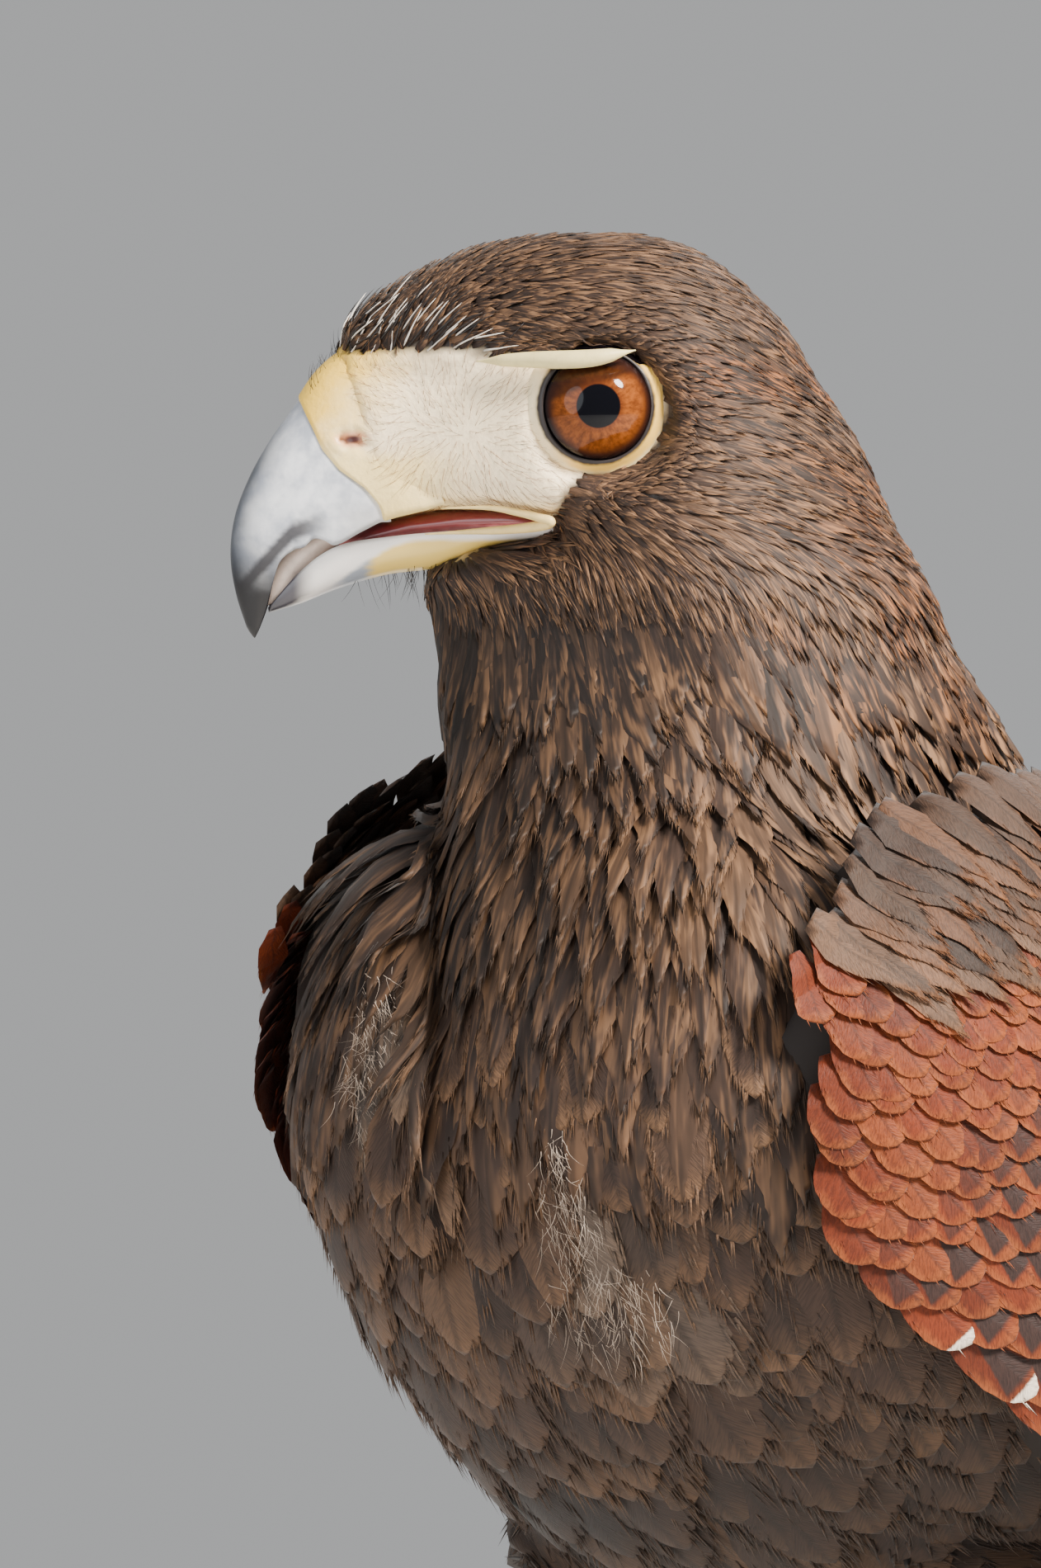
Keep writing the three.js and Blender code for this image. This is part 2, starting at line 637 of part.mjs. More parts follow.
function thighSolid(grow = 0) {
  const rings = THIGH.map(([x, y, z, wide, deep]) => Array.from({ length: THIGH_SIDES }, (_, j) => {
    const angle = (2 * Math.PI * (j + 0.5)) / THIGH_SIDES;
    return point(x + (wide + grow) * Math.cos(angle), y + (deep + grow) * Math.sin(angle), z);
  }));
  return solid(loft(rings));
}

function shankSolid() {
  const foot = point(FOOT.x, FOOT.y, FOOT.hub);
  const path = [
    point(HOCK.x, HOCK.y - 2.5, THIGH_END + 2), point(HOCK.x, HOCK.y - 1, 97), HOCK.clone(),
    point(34.4, 62, 86), point(34, 58.5, 72), point(33.6, 54.5, 54), point(33.3, 51, 36),
    point(33.1, 48.5, 22), point(33, 47, 14),
  ];
  const leg = solid(limb(path, [5, 6, 6.9, 6.1, 4.8, 4.5, 4.7, 5.6, 6.8], 10, point(0, 1, 0)));
  const hub = new THREE.SphereGeometry(1, 10, 6).scale(9.2, 9.6, 8.4)
    .translate(foot.x, foot.y, foot.z - HUB_DROP);
  return leg.add(solid(hub)).subtract(below(point(0, 0, 0), up))
    .intersect(below(point(0, 0, THIGH_END - GAP), up));
}

// Toes: name, heading from straight ahead towards the outside, length, claw length, thickness
const TOES = [
  ['middle', 4, 47, 21, 4.9],
  ['inner', -34, 31, 26, 5.1],
  ['outer', 44, 38, 18, 4.5],
  ['hind', 188, 24, 28, 5.2],
];
const TOE_HEIGHT = 4.3;
const CLAW_GAP = 0.4;

function toeDirection(heading) {
  return point(Math.sin(degrees(heading)), -Math.cos(degrees(heading)), 0);
}

function toePath(heading, length, from = 4) {
  const direction = toeDirection(heading);
  const steps = [0, 0.18, 0.36, 0.52, 0.68, 0.84, 1];
  return steps.map((t) => {
    const height = TOE_HEIGHT + 3.2 * Math.max(0, 1 - t * 3) ** 1.5 + 0.5 * Math.sin(Math.PI * t);
    return point(FOOT.x, FOOT.y, height).addScaledVector(direction, from + t * (length - from));
  });
}

function toeSolid([, heading, length, , thick], grow = 0) {
  const swell = [1.08, 0.96, 1.07, 0.92, 1.03, 0.88, 0.78];
  const radii = swell.map((s) => s * thick + grow);
  return solid(limb(toePath(heading, length + grow), radii, 7)).subtract(below(point(0, 0, 0), up));
}

function clawSolid([, heading, length, claw, thick]) {
  const direction = toeDirection(heading);
  const rise = degrees(38);
  const tipDrop = (turn) => (claw / (rise - turn)) * (Math.cos(turn) - Math.cos(rise)) + TOE_HEIGHT + 0.2;
  let fall = degrees(-40);
  while (tipDrop(fall) > 0) fall -= degrees(0.25);
  const radius = claw / (rise - fall);
  const start = point(FOOT.x, FOOT.y, TOE_HEIGHT + 0.6).addScaledVector(direction, length + CLAW_GAP);
  const path = [];
  const radii = [];
  const steps = 6;
  for (let i = 0; i <= steps; i += 1) {
    const turn = lerp(rise, fall, i / steps);
    const ahead = radius * (Math.sin(rise) - Math.sin(turn));
    const lift = radius * (Math.cos(turn) - Math.cos(rise));
    path.push(start.clone().addScaledVector(direction, ahead).add(point(0, 0, lift)));
    const r = lerp(thick * 0.66, 0.35, (i / steps) ** 1.15);
    radii.push([r * 0.86, r]);
  }
  return solid(limb(path, radii, 6)).subtract(below(point(0, 0, 0), up));
}

// Assembly
const bird = new THREE.Group();
bird.name = 'harris_hawk';
bird.position.y = -CENTRE_Y;

const headGroup = new THREE.Group();
headGroup.applyMatrix4(headMatrix);
bird.add(headGroup);

function place(name, body, material, at = point(0, 0, 0), into = bird) {
  const mesh = new THREE.Mesh(geometryOf(body).translate(-at.x, -at.y, -at.z), material);
  mesh.name = name;
  mesh.position.copy(at);
  into.add(mesh);
}

// Head and neck: one column of skull and neck, parted by a slanting plane under the jaw
const PART_AT = point(-8, 0, -19.5);
const PART_NORMAL = point(-0.16, 0, 1).normalize();
const column = moved(skullAndNeck(), headInverse);
const upperPart = below(PART_AT.clone().addScaledVector(PART_NORMAL, GAP / 2), PART_NORMAL);
const lowerPart = below(PART_AT.clone().addScaledVector(PART_NORMAL, -GAP / 2), PART_NORMAL);
const upperJawSolid = upperJaw();
const mouth = lowerJaw(LOWER_JAW, GAP).add(lowerJaw(TONGUE, GAP));

let skull = join([column.subtract(upperPart), upperJawSolid]);
for (const side of [1, -1]) {
  skull = skull.subtract(aroundEye(side));
  skull = skull.add(brow(side)).add(lidRing(side));
  skull = skull.subtract(solid(new THREE.SphereGeometry(EYE_RADIUS + 2 * GAP, 16, 10).rotateX(Math.PI / 2)
    .translate(...eyeCentre(side).toArray())));
  skull = skull.subtract(nostril(side));
}
skull = skull.subtract(mouth).subtract(curtain(HORN_LINE)).subtract(curtain(CERE_LINE));
const pieces = skull.decompose().sort((a, b) => b.volume() - a.volume());
const middleX = (body) => {
  const box = body.boundingBox();
  return (box.min[0] + box.max[0]) / 2;
};
const [headSolid, ...fronts] = pieces;
const [cereSolid, hornSolid] = fronts.slice(0, 2).sort((a, b) => middleX(a) - middleX(b));
place('head', tidied(headSolid), brown, point(0, 0, 0), headGroup);
place('cere', tidied(cereSolid), yellow, point(28, 0, 0), headGroup);
place('bill_upper', tidied(hornSolid), horn, point(36, 0, -8), headGroup);
const trough = lowerJaw(LOWER_JAW).subtract(lowerJaw(TONGUE, GAP));
place('bill_lower', tidied(trough), horn, point(20, 0, -18), headGroup);
place('tongue', lowerJaw(TONGUE), pink, point(20, 0, -15), headGroup);
for (const [side, name] of [[1, 'left'], [-1, 'right']]) {
  const ball = new THREE.SphereGeometry(EYE_RADIUS, 18, 10).rotateX(Math.PI / 2);
  const mesh = new THREE.Mesh(ball, iris);
  mesh.name = `eye_${name}`;
  mesh.position.copy(eyeCentre(side));
  headGroup.add(mesh);
}

// Neck and torso meet on a level plane
const NECK_BASE = 289;
const throat = column.add(lowerJaw(CHIN)).intersect(lowerPart).subtract(lowerJaw(LOWER_JAW, GAP));
const lowColumn = moved(throat, headMatrix);
const torsoCut = below(point(0, 0, NECK_BASE), up);
const neckCut = below(point(0, 0, NECK_BASE + GAP), up);
const trunk = torsoSolid();
place('neck', tidied(lowColumn.add(trunk).subtract(neckCut)), brown, point(0, 0, 310));
const tailEnd = point(0, TAIL_ROOT.y, TAIL_ROOT.z);
const tailAxis = point(0, Math.cos(TAIL_SLOPE), -Math.sin(TAIL_SLOPE));
const beforeTail = below(tailEnd.clone().addScaledVector(tailAxis, -GAP), tailAxis);
const torso = lowColumn.add(trunk).intersect(torsoCut).intersect(beforeTail);
place('torso', tidied(torso), brown, point(0, 40, 240));

// Wings
const trunkRoom = torsoSolid(GAP).add(moved(skullAndNeck(GAP), new THREE.Matrix4()));
const wing = (tucked) => {
  const feathered = join([wingCore(tucked), ...wingFeathers(tucked)]);
  return tidied(feathered.subtract(trunkRoom).subtract(thighSolid(GAP)), WING_MERGE);
};
place('wing_left', wing(false), rufous, point(60, WING_ROOT.y, WING_ROOT.z));
place('wing_right', mirrored(wing(true)), rufous, point(-60, WING_ROOT.y, WING_ROOT.z));

// Tail
place('tail', tidied(tailSolid().subtract(beforeTail).subtract(torsoSolid(GAP))), tailBrown, tailEnd);

// Legs and feet
const thigh = tidied(thighSolid().subtract(torsoSolid(GAP)));
const shank = tidied(shankSolid());
const ankle = [point(33, 47, 10), point(33.1, 48.5, 22), point(33.3, 51, 36)];
const hubRoom = solid(new THREE.SphereGeometry(1, 10, 6).scale(9.6, 10, 8.8)
  .translate(FOOT.x, FOOT.y, FOOT.hub - HUB_DROP))
  .add(solid(limb(ankle, [7.1, 5.9, 5], 10, point(0, 1, 0))));
for (const [name, turn] of [['left', (body) => body], ['right', mirrored]]) {
  const side = name === 'left' ? 1 : -1;
  place(`thigh_${name}`, turn(thigh), rufous, point(side * 33, 40, 174));
  place(`shank_${name}`, turn(shank), yellow, point(side * 34, 58, 60));
  for (const toe of TOES) {
    const around = toe === TOES[0] ? hubRoom : hubRoom.add(toeSolid(TOES[0], GAP));
    const claw = tidied(clawSolid(toe).subtract(toeSolid(toe, GAP)));
    const root = point(side * FOOT.x, FOOT.y, TOE_HEIGHT);
    place(`toe_${name}_${toe[0]}`, turn(tidied(toeSolid(toe).subtract(around))), yellow, root);
    place(`claw_${name}_${toe[0]}`, turn(claw), black, root);
  }
}

export default bird;
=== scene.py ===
# %% [markdown]
# # A Harris's hawk in feather
# The solids give this standing hawk its shape, its head turned to its right. This lesson dresses them: a
# soft skin, thousands of feathers laid over it by Geometry Nodes, a polished bill, a bare
# yellow face, wet brown eyes and scaly feet. Sizes below are in millimetres on the bird, and become
# metres as each mesh is made.

# %% Tools and the solids
import json
import math

import bpy
import numpy as np
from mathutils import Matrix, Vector

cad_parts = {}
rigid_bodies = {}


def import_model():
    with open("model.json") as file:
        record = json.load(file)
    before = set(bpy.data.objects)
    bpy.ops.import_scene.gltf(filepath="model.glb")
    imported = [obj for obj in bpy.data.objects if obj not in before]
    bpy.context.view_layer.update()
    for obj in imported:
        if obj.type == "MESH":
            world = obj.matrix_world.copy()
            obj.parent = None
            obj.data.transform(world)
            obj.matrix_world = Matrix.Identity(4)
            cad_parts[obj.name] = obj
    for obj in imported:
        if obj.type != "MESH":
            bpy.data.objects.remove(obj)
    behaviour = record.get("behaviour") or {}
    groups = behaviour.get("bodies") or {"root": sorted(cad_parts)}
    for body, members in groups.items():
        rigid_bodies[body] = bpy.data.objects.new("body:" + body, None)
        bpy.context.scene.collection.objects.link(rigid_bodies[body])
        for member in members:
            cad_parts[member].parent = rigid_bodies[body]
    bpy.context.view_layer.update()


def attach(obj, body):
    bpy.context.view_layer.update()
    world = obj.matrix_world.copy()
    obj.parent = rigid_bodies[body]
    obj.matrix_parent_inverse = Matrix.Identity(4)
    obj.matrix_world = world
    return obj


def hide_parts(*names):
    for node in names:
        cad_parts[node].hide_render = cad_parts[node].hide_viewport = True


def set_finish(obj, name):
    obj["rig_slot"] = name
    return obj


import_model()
loaded_names = {part.name for part in bpy.context.scene.objects}

# %% [markdown]
# ## A bench for node trees
# Both materials and Geometry Nodes are trees of nodes. A `Wire` wraps an output socket so that sums read
# as they do on paper, and a `Bench` adds any other node from its type, its settings and its inputs. The
# same two classes serve both kinds of tree, which keeps every recipe below to a few lines.

# %% Wires and the bench
def arithmetic(operation, swapped=False):
    """A method of Wire for one operation; swapped puts the wire second."""
    def act(self, other):
        values = (other, self) if swapped else (self, other)
        return self.bench.maths(operation, *values)

    return act


class Wire:
    """An output socket that adds, multiplies and divides like a number or a vector."""

    __add__ = arithmetic("ADD")
    __radd__ = arithmetic("ADD", swapped=True)
    __sub__ = arithmetic("SUBTRACT")
    __rsub__ = arithmetic("SUBTRACT", swapped=True)
    __truediv__ = arithmetic("DIVIDE")
    __rtruediv__ = arithmetic("DIVIDE", swapped=True)
    __pow__ = arithmetic("POWER")

    def __init__(self, bench, socket):
        self.bench = bench
        self.socket = socket

    def is_vector(self):
        return self.socket.type == "VECTOR"

    def __mul__(self, other):
        return self.scaled(other) if self.is_vector() else self.bench.maths("MULTIPLY", self, other)

    def __rmul__(self, other):
        return self * other

    def __abs__(self):
        return self.bench.maths("ABSOLUTE", self)

    def scaled(self, amount):
        """A vector made longer by a number, which goes to the node's Scale socket."""
        if isinstance(amount, Wire) and amount.is_vector():
            return self.bench.maths("MULTIPLY", self, amount)
        return self.bench.make("ShaderNodeVectorMath", {"operation": "SCALE"}, self, Scale=amount)

    def dot(self, other):
        return self.bench.maths("DOT_PRODUCT", self, other, out="Value")

    def cross(self, other):
        return self.bench.maths("CROSS_PRODUCT", self, other)

    def unit(self):
        return self.bench.maths("NORMALIZE", self)

    def part(self, axis):
        """The x, y or z of a vector."""
        return self.bench.make("ShaderNodeSeparateXYZ", {}, self, out=axis)

    def step(self, low, high):
        """0 below low, 1 above high, and smooth between."""
        return self.bench.reach("SMOOTHSTEP", self, low, high, 0.0, 1.0)


class Bench:
    """Adds nodes to one tree."""

    def __init__(self, tree):
        self.tree = tree
        tree.nodes.clear()

    def make(self, kind, settings, *places, out=None, **named):
        """One node: its type, its settings, then the values or wires of its sockets by place or by name."""
        node = self.tree.nodes.new(kind)
        for key, value in settings.items():
            setattr(node, key, value)
        live = [socket for socket in node.inputs if socket.enabled]
        for socket, value in zip(live, places):
            self.plug(socket, value)
        for name, value in named.items():
            wanted = name.replace("_", " ")
            self.plug(next(socket for socket in live if socket.name == wanted), value)
        outs = [socket for socket in node.outputs if socket.enabled and out in (None, socket.name)]
        return Wire(self, outs[0]) if outs else node

    def plug(self, socket, value):
        if isinstance(value, Wire):
            self.tree.links.new(value.socket, socket)
        elif value is not None:
            socket.default_value = value

    def maths(self, operation, *values, out=None):
        """One operation on numbers, or on vectors when any of the values is one."""
        vector = any(isinstance(v, Wire) and v.is_vector() for v in values)
        kind = "ShaderNodeVectorMath" if vector else "ShaderNodeMath"
        return self.make(kind, {"operation": operation}, *values, out=out)

    def reach(self, way, value, low, high, first, last):
        """first where the value is low, last where it is high."""
        return self.make("ShaderNodeMapRange", {"interpolation_type": way}, value, low, high, first, last)

    def layered(self, shade, *layers):
        """Colours laid over a first one, each given with its share."""
        for paint, share in layers:
            shade = self.mix(shade, paint, share)
        return shade

    def mix(self, first, second, amount):
        """One colour into another."""
        return self.make("ShaderNodeMix", {"data_type": "RGBA"}, amount, first, second)

    def vector(self, x, y, z):
        return self.make("ShaderNodeCombineXYZ", {}, x, y, z)

    def noise(self, place, scale, detail=2.0, rough=0.5):
        settings = {"Scale": scale, "Detail": detail, "Roughness": rough}
        return self.make("ShaderNodeTexNoise", {}, place, out="Fac", **settings)

    def place(self):
        """Where a point lies in its object's own metres."""
        return self.make("ShaderNodeTexCoord", {}, out="Object")


def colour(red, green, blue):
    """A colour as a screen shows it, 0 to 255, turned into the light that a shader works in."""
    shares = [c / 255 for c in (red, green, blue)]
    return tuple(c / 12.92 if c <= 0.04045 else ((c + 0.055) / 1.055) ** 2.4 for c in shares) + (1.0,)


def tint_of(red, green, blue):
    """The same colour as three numbers to reckon with."""
    return np.array(colour(red, green, blue)[:3])


print("bench ready")

# %% [markdown]
# ## The bird's own measures
# The bird is measured along itself rather than in the room: the head along its bill, the trunk along its
# back, and each wing from wrist to tip. Smooth curves through a few rows of sizes give every section.

# %% Sizes and frames
MM = 0.001
CENTRE_Y = 124.25
HEAD_AT = np.array([-8.5, -8.5, 355.0])
HEAD_TURN = math.radians(45)
AHEAD = np.array([-math.sin(HEAD_TURN), -math.cos(HEAD_TURN), 0.0])
TO_LEFT = np.array([math.cos(HEAD_TURN), -math.sin(HEAD_TURN), 0.0])
UPWARD = np.array([0.0, 0.0, 1.0])
EYE_RADIUS = 9.2
EYE_SIDE = 12.1
EYE_FORWARD = 0.1
EYE_UP = 0.4


def between(rows):
    """Smooth values between rows of [place, value, value ...], by a cubic through them."""
    table = np.array(rows, float)
    places, values = table[:, 0], table[:, 1:]
    count = len(places)
    behind = np.maximum(np.arange(count) - 1, 0)
    ahead = np.minimum(np.arange(count) + 1, count - 1)
    slopes = (values[ahead] - values[behind]) / (places[ahead] - places[behind])[:, None]

    def at(place):
        place = np.clip(np.asarray(place, float), places[0], places[-1])
        i = np.clip(np.searchsorted(places, place, side="right") - 1, 0, count - 2)
        gap = (places[i + 1] - places[i])[..., None]
        t = (place - places[i])[..., None] / gap
        start = values[i] * (1 + 2 * t) * (1 - t) ** 2 + slopes[i] * gap * t * (1 - t) ** 2
        end = values[i + 1] * t * t * (3 - 2 * t) - slopes[i + 1] * gap * t * t * (1 - t)
        return start + end

    return at


def ease(value, low, high):
    """0 below low, 1 above high, and smooth between."""
    t = np.clip((np.asarray(value, float) - low) / (high - low), 0, 1)
    return t * t * (3 - 2 * t)


def blend(first, second, share):
    return first + (second - first) * share


def from_head(points):
    """Head measures (ahead, left, up) to the bird's."""
    points = np.asarray(points, float)
    return HEAD_AT + points[..., :1] * AHEAD + points[..., 1:2] * TO_LEFT + points[..., 2:] * UPWARD


def to_head(points):
    shifted = np.asarray(points, float) - HEAD_AT
    return np.stack([shifted @ AHEAD, shifted @ TO_LEFT, shifted @ UPWARD], axis=-1)


def in_room(points):
    """The bird's millimetres to the room's metres."""
    points = np.asarray(points, float)
    return (points - [0.0, CENTRE_Y, 0.0]) * MM


def on_bird(points):
    return np.asarray(points, float) / MM + [0.0, CENTRE_Y, 0.0]


def shown(made):
    """The object, linked into the scene."""
    bpy.context.scene.collection.objects.link(made)
    return made


def raw_mesh(name, points, faces=()):
    """A mesh from points in metres."""
    mesh = bpy.data.meshes.new(name)
    mesh.from_pydata([tuple(p) for p in points], [], list(faces))
    return mesh


def new_mesh(name, points, faces):
    """A mesh object from points in the bird's millimetres."""
    mesh = raw_mesh(name, in_room(points), faces)
    mesh.validate()
    return shown(bpy.data.objects.new(name, mesh))


def move_points(mesh, places):
    """Sets all points of a mesh to places in the bird's millimetres."""
    mesh.vertices.foreach_set("co", in_room(places).astype(np.float32).ravel())
    mesh.update()


def tube_faces(rings, sides, closed=False):
    """Faces of a tube over rings of points, with a fan over each end, or joined end to end."""
    faces = []
    for i in range(rings if closed else rings - 1):
        for j in range(sides):
            a, b = i * sides + j, i * sides + (j + 1) % sides
            c, d = ((i + 1) % rings) * sides + (j + 1) % sides, ((i + 1) % rings) * sides + j
            faces.append((a, b, c, d))
    if not closed:
        first, last = rings * sides, rings * sides + 1
        faces += [((j + 1) % sides, j, first) for j in range(sides)]
        start = (rings - 1) * sides
        faces += [(start + j, start + (j + 1) % sides, last) for j in range(sides)]
    return faces


def loft(name, rings):
    """A closed body over rings of points, its faces turned outwards."""
    rings = np.asarray(rings, float)
    points = np.concatenate([rings.reshape(-1, 3), rings[:1].mean(axis=1), rings[-1:].mean(axis=1)])
    made = new_mesh(name, points, tube_faces(*rings.shape[:2]))
    turn_outwards(made.data)
    return made


def turn_outwards(mesh):
    """Flips a closed mesh whose faces point inwards, by the sign of its volume."""
    volume = 0.0
    for triangle in triangles_of(mesh):
        a, b, c = [mesh.vertices[i].co for i in triangle.vertices]
        volume += a.dot(b.cross(c))
    if volume < 0:
        mesh.flip_normals()


def triangles_of(mesh):
    mesh.calc_loop_triangles()
    return mesh.loop_triangles


def smooth(made):
    made.data.shade_smooth()
    return made


def dress(made, paint):
    """The object with one material."""
    made.data.materials.clear()
    made.data.materials.append(paint)
    return made


def side_name(side):
    return "left" if side > 0 else "right"


# %% [markdown]
# ## The body under the feathers
# A hawk's outline is mostly air and feather, but the coat follows the flesh. The skull and neck are level
# ovals, the trunk is a set of ovals across the spine, and each thigh is a tapering drum. They could be
# sculpted; here they are lofted from the same rows as the solids, so skin and solids agree.

# %% Skull, neck, trunk and thighs
# Rows: height on the head, front, back, where it is widest, half width, pinch
HEAD_LEVELS = between([
    [-26, 22.4, -44.0, -11.5, 26.5, 0.45],
    [-22, 21.6, -41.9, -11, 25.2, 0.42],
    [-19.5, 14.0, -40.4, -11, 24.4, 0.3],
    [-16, 8.6, -38.3, -10, 23.4, 0.1],
    [-10, 8.5, -35.6, -9, 22.3, 0],
    [-4, 11, -33.2, -7, 21.4, 0.05],
    [2.6, 20, -28.9, -5, 20.2, 0.2],
    [6, 32.6, -27.0, -4, 19.6, 0.36],
    [10, 33.4, -24.7, -3, 18.6, 0.33],
    [14.7, 28.6, -20.5, -1, 15.8, 0.22],
    [19, 20.6, -15.2, 0, 11.6, 0.1],
    [21.4, 13.4, -9.6, 0.6, 7.2, 0],
    [22.5, 6.5, -4.6, 0.8, 3.1, 0],
])
# Rows: height, x, y, reach to the front, reach to the back, half width, pinch, turn
NECK_LEVELS = between([
    [262, 0, 4, 38, 40, 38, 0, 0],
    [272, 0, 3, 39, 46, 38, 0, 2],
    [286, 0, 1, 38.5, 52, 36.5, 0.04, 6],
    [300, 0, 0, 37, 52, 34.5, 0.1, 14],
    [312, 0, 0.6, 35.5, 43, 32, 0.2, 26],
    [322, -0.4, 0.2, 35, 36.5, 29.4, 0.34, 38],
    [329, -0.4, -0.4, 33.9, 32.5, 26.5, 0.45, 45],
])
# Rows: step, y, z, half width, depth to the breast, depth to the back
TORSO = between([
    [0, -6, 305, 24, 18, 24],
    [1, -8, 292, 46, 34, 42],
    [2, -4, 272, 54, 43, 50],
    [3, 10, 249, 54, 43, 50],
    [4, 32, 228, 51, 38, 47],
    [5, 56, 208, 48, 35, 41],
    [6, 79, 186, 42, 33, 34],
    [7, 99, 165, 32, 25, 26],
    [8, 114, 147, 20, 15, 16],
])
# Rows: height with its sign turned, x, y, half width, half depth
THIGH = between([
    [-226, 27, 30, 13, 20],
    [-212, 29, 31, 19, 28],
    [-195, 31, 34, 21, 30],
    [-174, 33, 40, 20.5, 27],
    [-152, 34, 47, 17.5, 22],
    [-130, 34.5, 54, 14, 17],
    [-113, 34.5, 59, 11, 12.5],
    [-101, 34.5, 62, 8.2, 8.6],
])
TORSO_SQUARE = 0.9


def around(sides):
    return np.arange(sides) * 2 * math.pi / sides


def oval(centre, front, back, half, pinch, turn, sides):
    """A level section: longer or shorter to the front, and narrowed there by pinch."""
    ahead = np.array([-math.sin(turn), -math.cos(turn), 0.0])
    left = np.array([math.cos(turn), -math.sin(turn), 0.0])
    c, s = np.cos(around(sides)), np.sin(around(sides))
    reach = np.where(c > 0, front, back) * c
    aside = half * s * (1 - pinch * np.maximum(c, 0))
    return centre + reach[:, None] * ahead + aside[:, None] * left


def skull_and_neck(sides=64):
    rings = []
    for z in np.linspace(262, 326, 26):
        x, y, front, back, half, pinch, turn = NECK_LEVELS(z)
        rings.append(oval(np.array([x, y, z]), front, back, half, pinch, math.radians(turn), sides))
    for w in np.linspace(-24, 22.3, 50):
        front, back, widest, half, pinch = HEAD_LEVELS(w)
        centre = from_head([widest, 0, w])
        rings.append(oval(centre, front - widest, widest - back, half, pinch, HEAD_TURN, sides))
    return loft("skull", rings)


def torso_rings(sides=64, steps=np.linspace(0, 8, 60)):
    rings = []
    for step in steps:
        y, z, half, breast, back = TORSO(step)
        low, high = TORSO(max(step - 0.1, 0)), TORSO(min(step + 0.1, 8))
        along = (high - low)[:2] / np.hypot(*(high - low)[:2])
        c, s = np.cos(around(sides)), np.sin(around(sides))
        reach = np.where(c > 0, breast, back) * np.sign(c) * np.abs(c) ** TORSO_SQUARE
        aside = half * np.sign(s) * np.abs(s) ** TORSO_SQUARE
        rings.append(np.stack([aside, y + along[1] * reach, z - along[0] * reach], axis=-1))
    return rings


def thigh(side):
    rings = []
    for z in np.linspace(226, 101, 40):
        x, y, wide, deep = THIGH(-z)
        turn = around(40)
        across = side * (x + wide * np.cos(turn))
        rings.append(np.stack([across, y + deep * np.sin(turn), np.full(40, z)], axis=-1))
    return loft("thigh", rings)


# %% [markdown]
# ## Jaws
# The bill's surface runs from the lores to the hook. Each section goes from the cutting edge up over the
# ridge, so rows of (step, ridge ahead, ridge up, edge ahead, edge up, half width, roundness) describe it.
# The back rows of the upper jaw are also the bare face in front of the eye.

# %% Jaw sections
UPPER_JAW = between([
    [0, -6, 9, -6, -13.6, 18.6, 0.3],
    [1, 6, 9.6, 6, -13.9, 18.8, 0.3],
    [2, 15, 9.4, 14, -12.8, 15.0, 0.45],
    [3, 24.5, 8.6, 21.5, -13.1, 11.2, 0.65],
    [4, 31.6, 8.2, 26.4, -13.9, 9.6, 0.82],
    [5, 35.8, 4.6, 30.0, -15.4, 8.7, 0.9],
    [6, 38.8, 0.2, 33.2, -17.0, 7.8, 0.92],
    [7, 41.8, -4.0, 36.0, -17.7, 6.9, 0.92],
    [8, 44.4, -8.6, 38.6, -17.9, 5.9, 0.92],
    [9, 46.3, -13.6, 40.3, -19.6, 4.8, 0.92],
    [10, 46.9, -18.6, 41.2, -22.2, 3.7, 0.92],
    [11, 46.2, -23.6, 41.9, -25.2, 2.4, 0.92],
    [12, 44.5, -28.9, 43.1, -29.1, 0.8, 0.92],
])
LOWER_JAW = between([
    [0, 3, -15.0, 3, -16.6, 10.8, 0.4],
    [1, 12, -15.1, 12, -17.4, 9.2, 0.4],
    [2, 20, -15.6, 20, -20.2, 7.9, 0.4],
    [3, 27, -16.3, 27, -21.2, 6.7, 0.4],
    [4, 33, -17.4, 33.2, -23.0, 5.3, 0.4],
    [5, 37.6, -20.4, 37.8, -24.8, 3.6, 0.4],
    [6, 42.2, -25.5, 42.1, -26.1, 1.3, 0.4],
])
CHIN = between([
    [0, -4, -15.6, -4, -27, 16, 0.6],
    [1, 8, -16.0, 8, -26.5, 12.8, 0.6],
    [2, 16, -16.9, 16, -25.4, 9.9, 0.6],
    [3, 22.4, -20.0, 22.2, -24, 6.8, 0.6],
])


def jaw_rings(rows, steps, sides, edge_height, edge_round):
    rings = []
    angle = around(sides) + math.pi / sides
    c, s = np.cos(angle), np.sin(angle)
    for step in steps:
        top_x, top_z, edge_x, edge_z, half, ridge_round = rows(step)
        lower = edge_height + edge_height * np.sign(s) * np.abs(s) ** edge_round
        rise = np.where(s > 0, edge_height + (1 - edge_height) * s, lower)
        bend = np.where(s > 0, ridge_round, edge_round)
        aside = half * np.sign(c) * np.abs(c) ** bend
        ahead = edge_x + (top_x - edge_x) * rise
        rings.append(from_head(np.stack([ahead, aside, edge_z + (top_z - edge_z) * rise], axis=-1)))
    return rings


# %% [markdown]
# ## One skin
# The flesh pieces overlap, so they are joined and remeshed into one closed skin, then relaxed and drawn in
# by the depth of the coat that will cover it: nothing on the bare face, a millimetre on the crown, four
# or five on the breast. A boolean union would keep hard creases where pieces meet; a voxel remesh melts
# them together as flesh does.

# %% Join, remesh and relax
SKIN_VOXEL = 0.00118
SKIN_ROUNDS = 9
NECK_ROUNDS = 220


def joined(name, parts):
    """Several mesh objects made one."""
    for other in bpy.context.selected_objects:
        other.select_set(False)
    for one in parts:
        one.select_set(True)
    bpy.context.view_layer.objects.active = parts[0]
    if len(parts) > 1:
        bpy.ops.object.join()
    parts[0].name = name
    parts[0].data.name = name
    return parts[0]


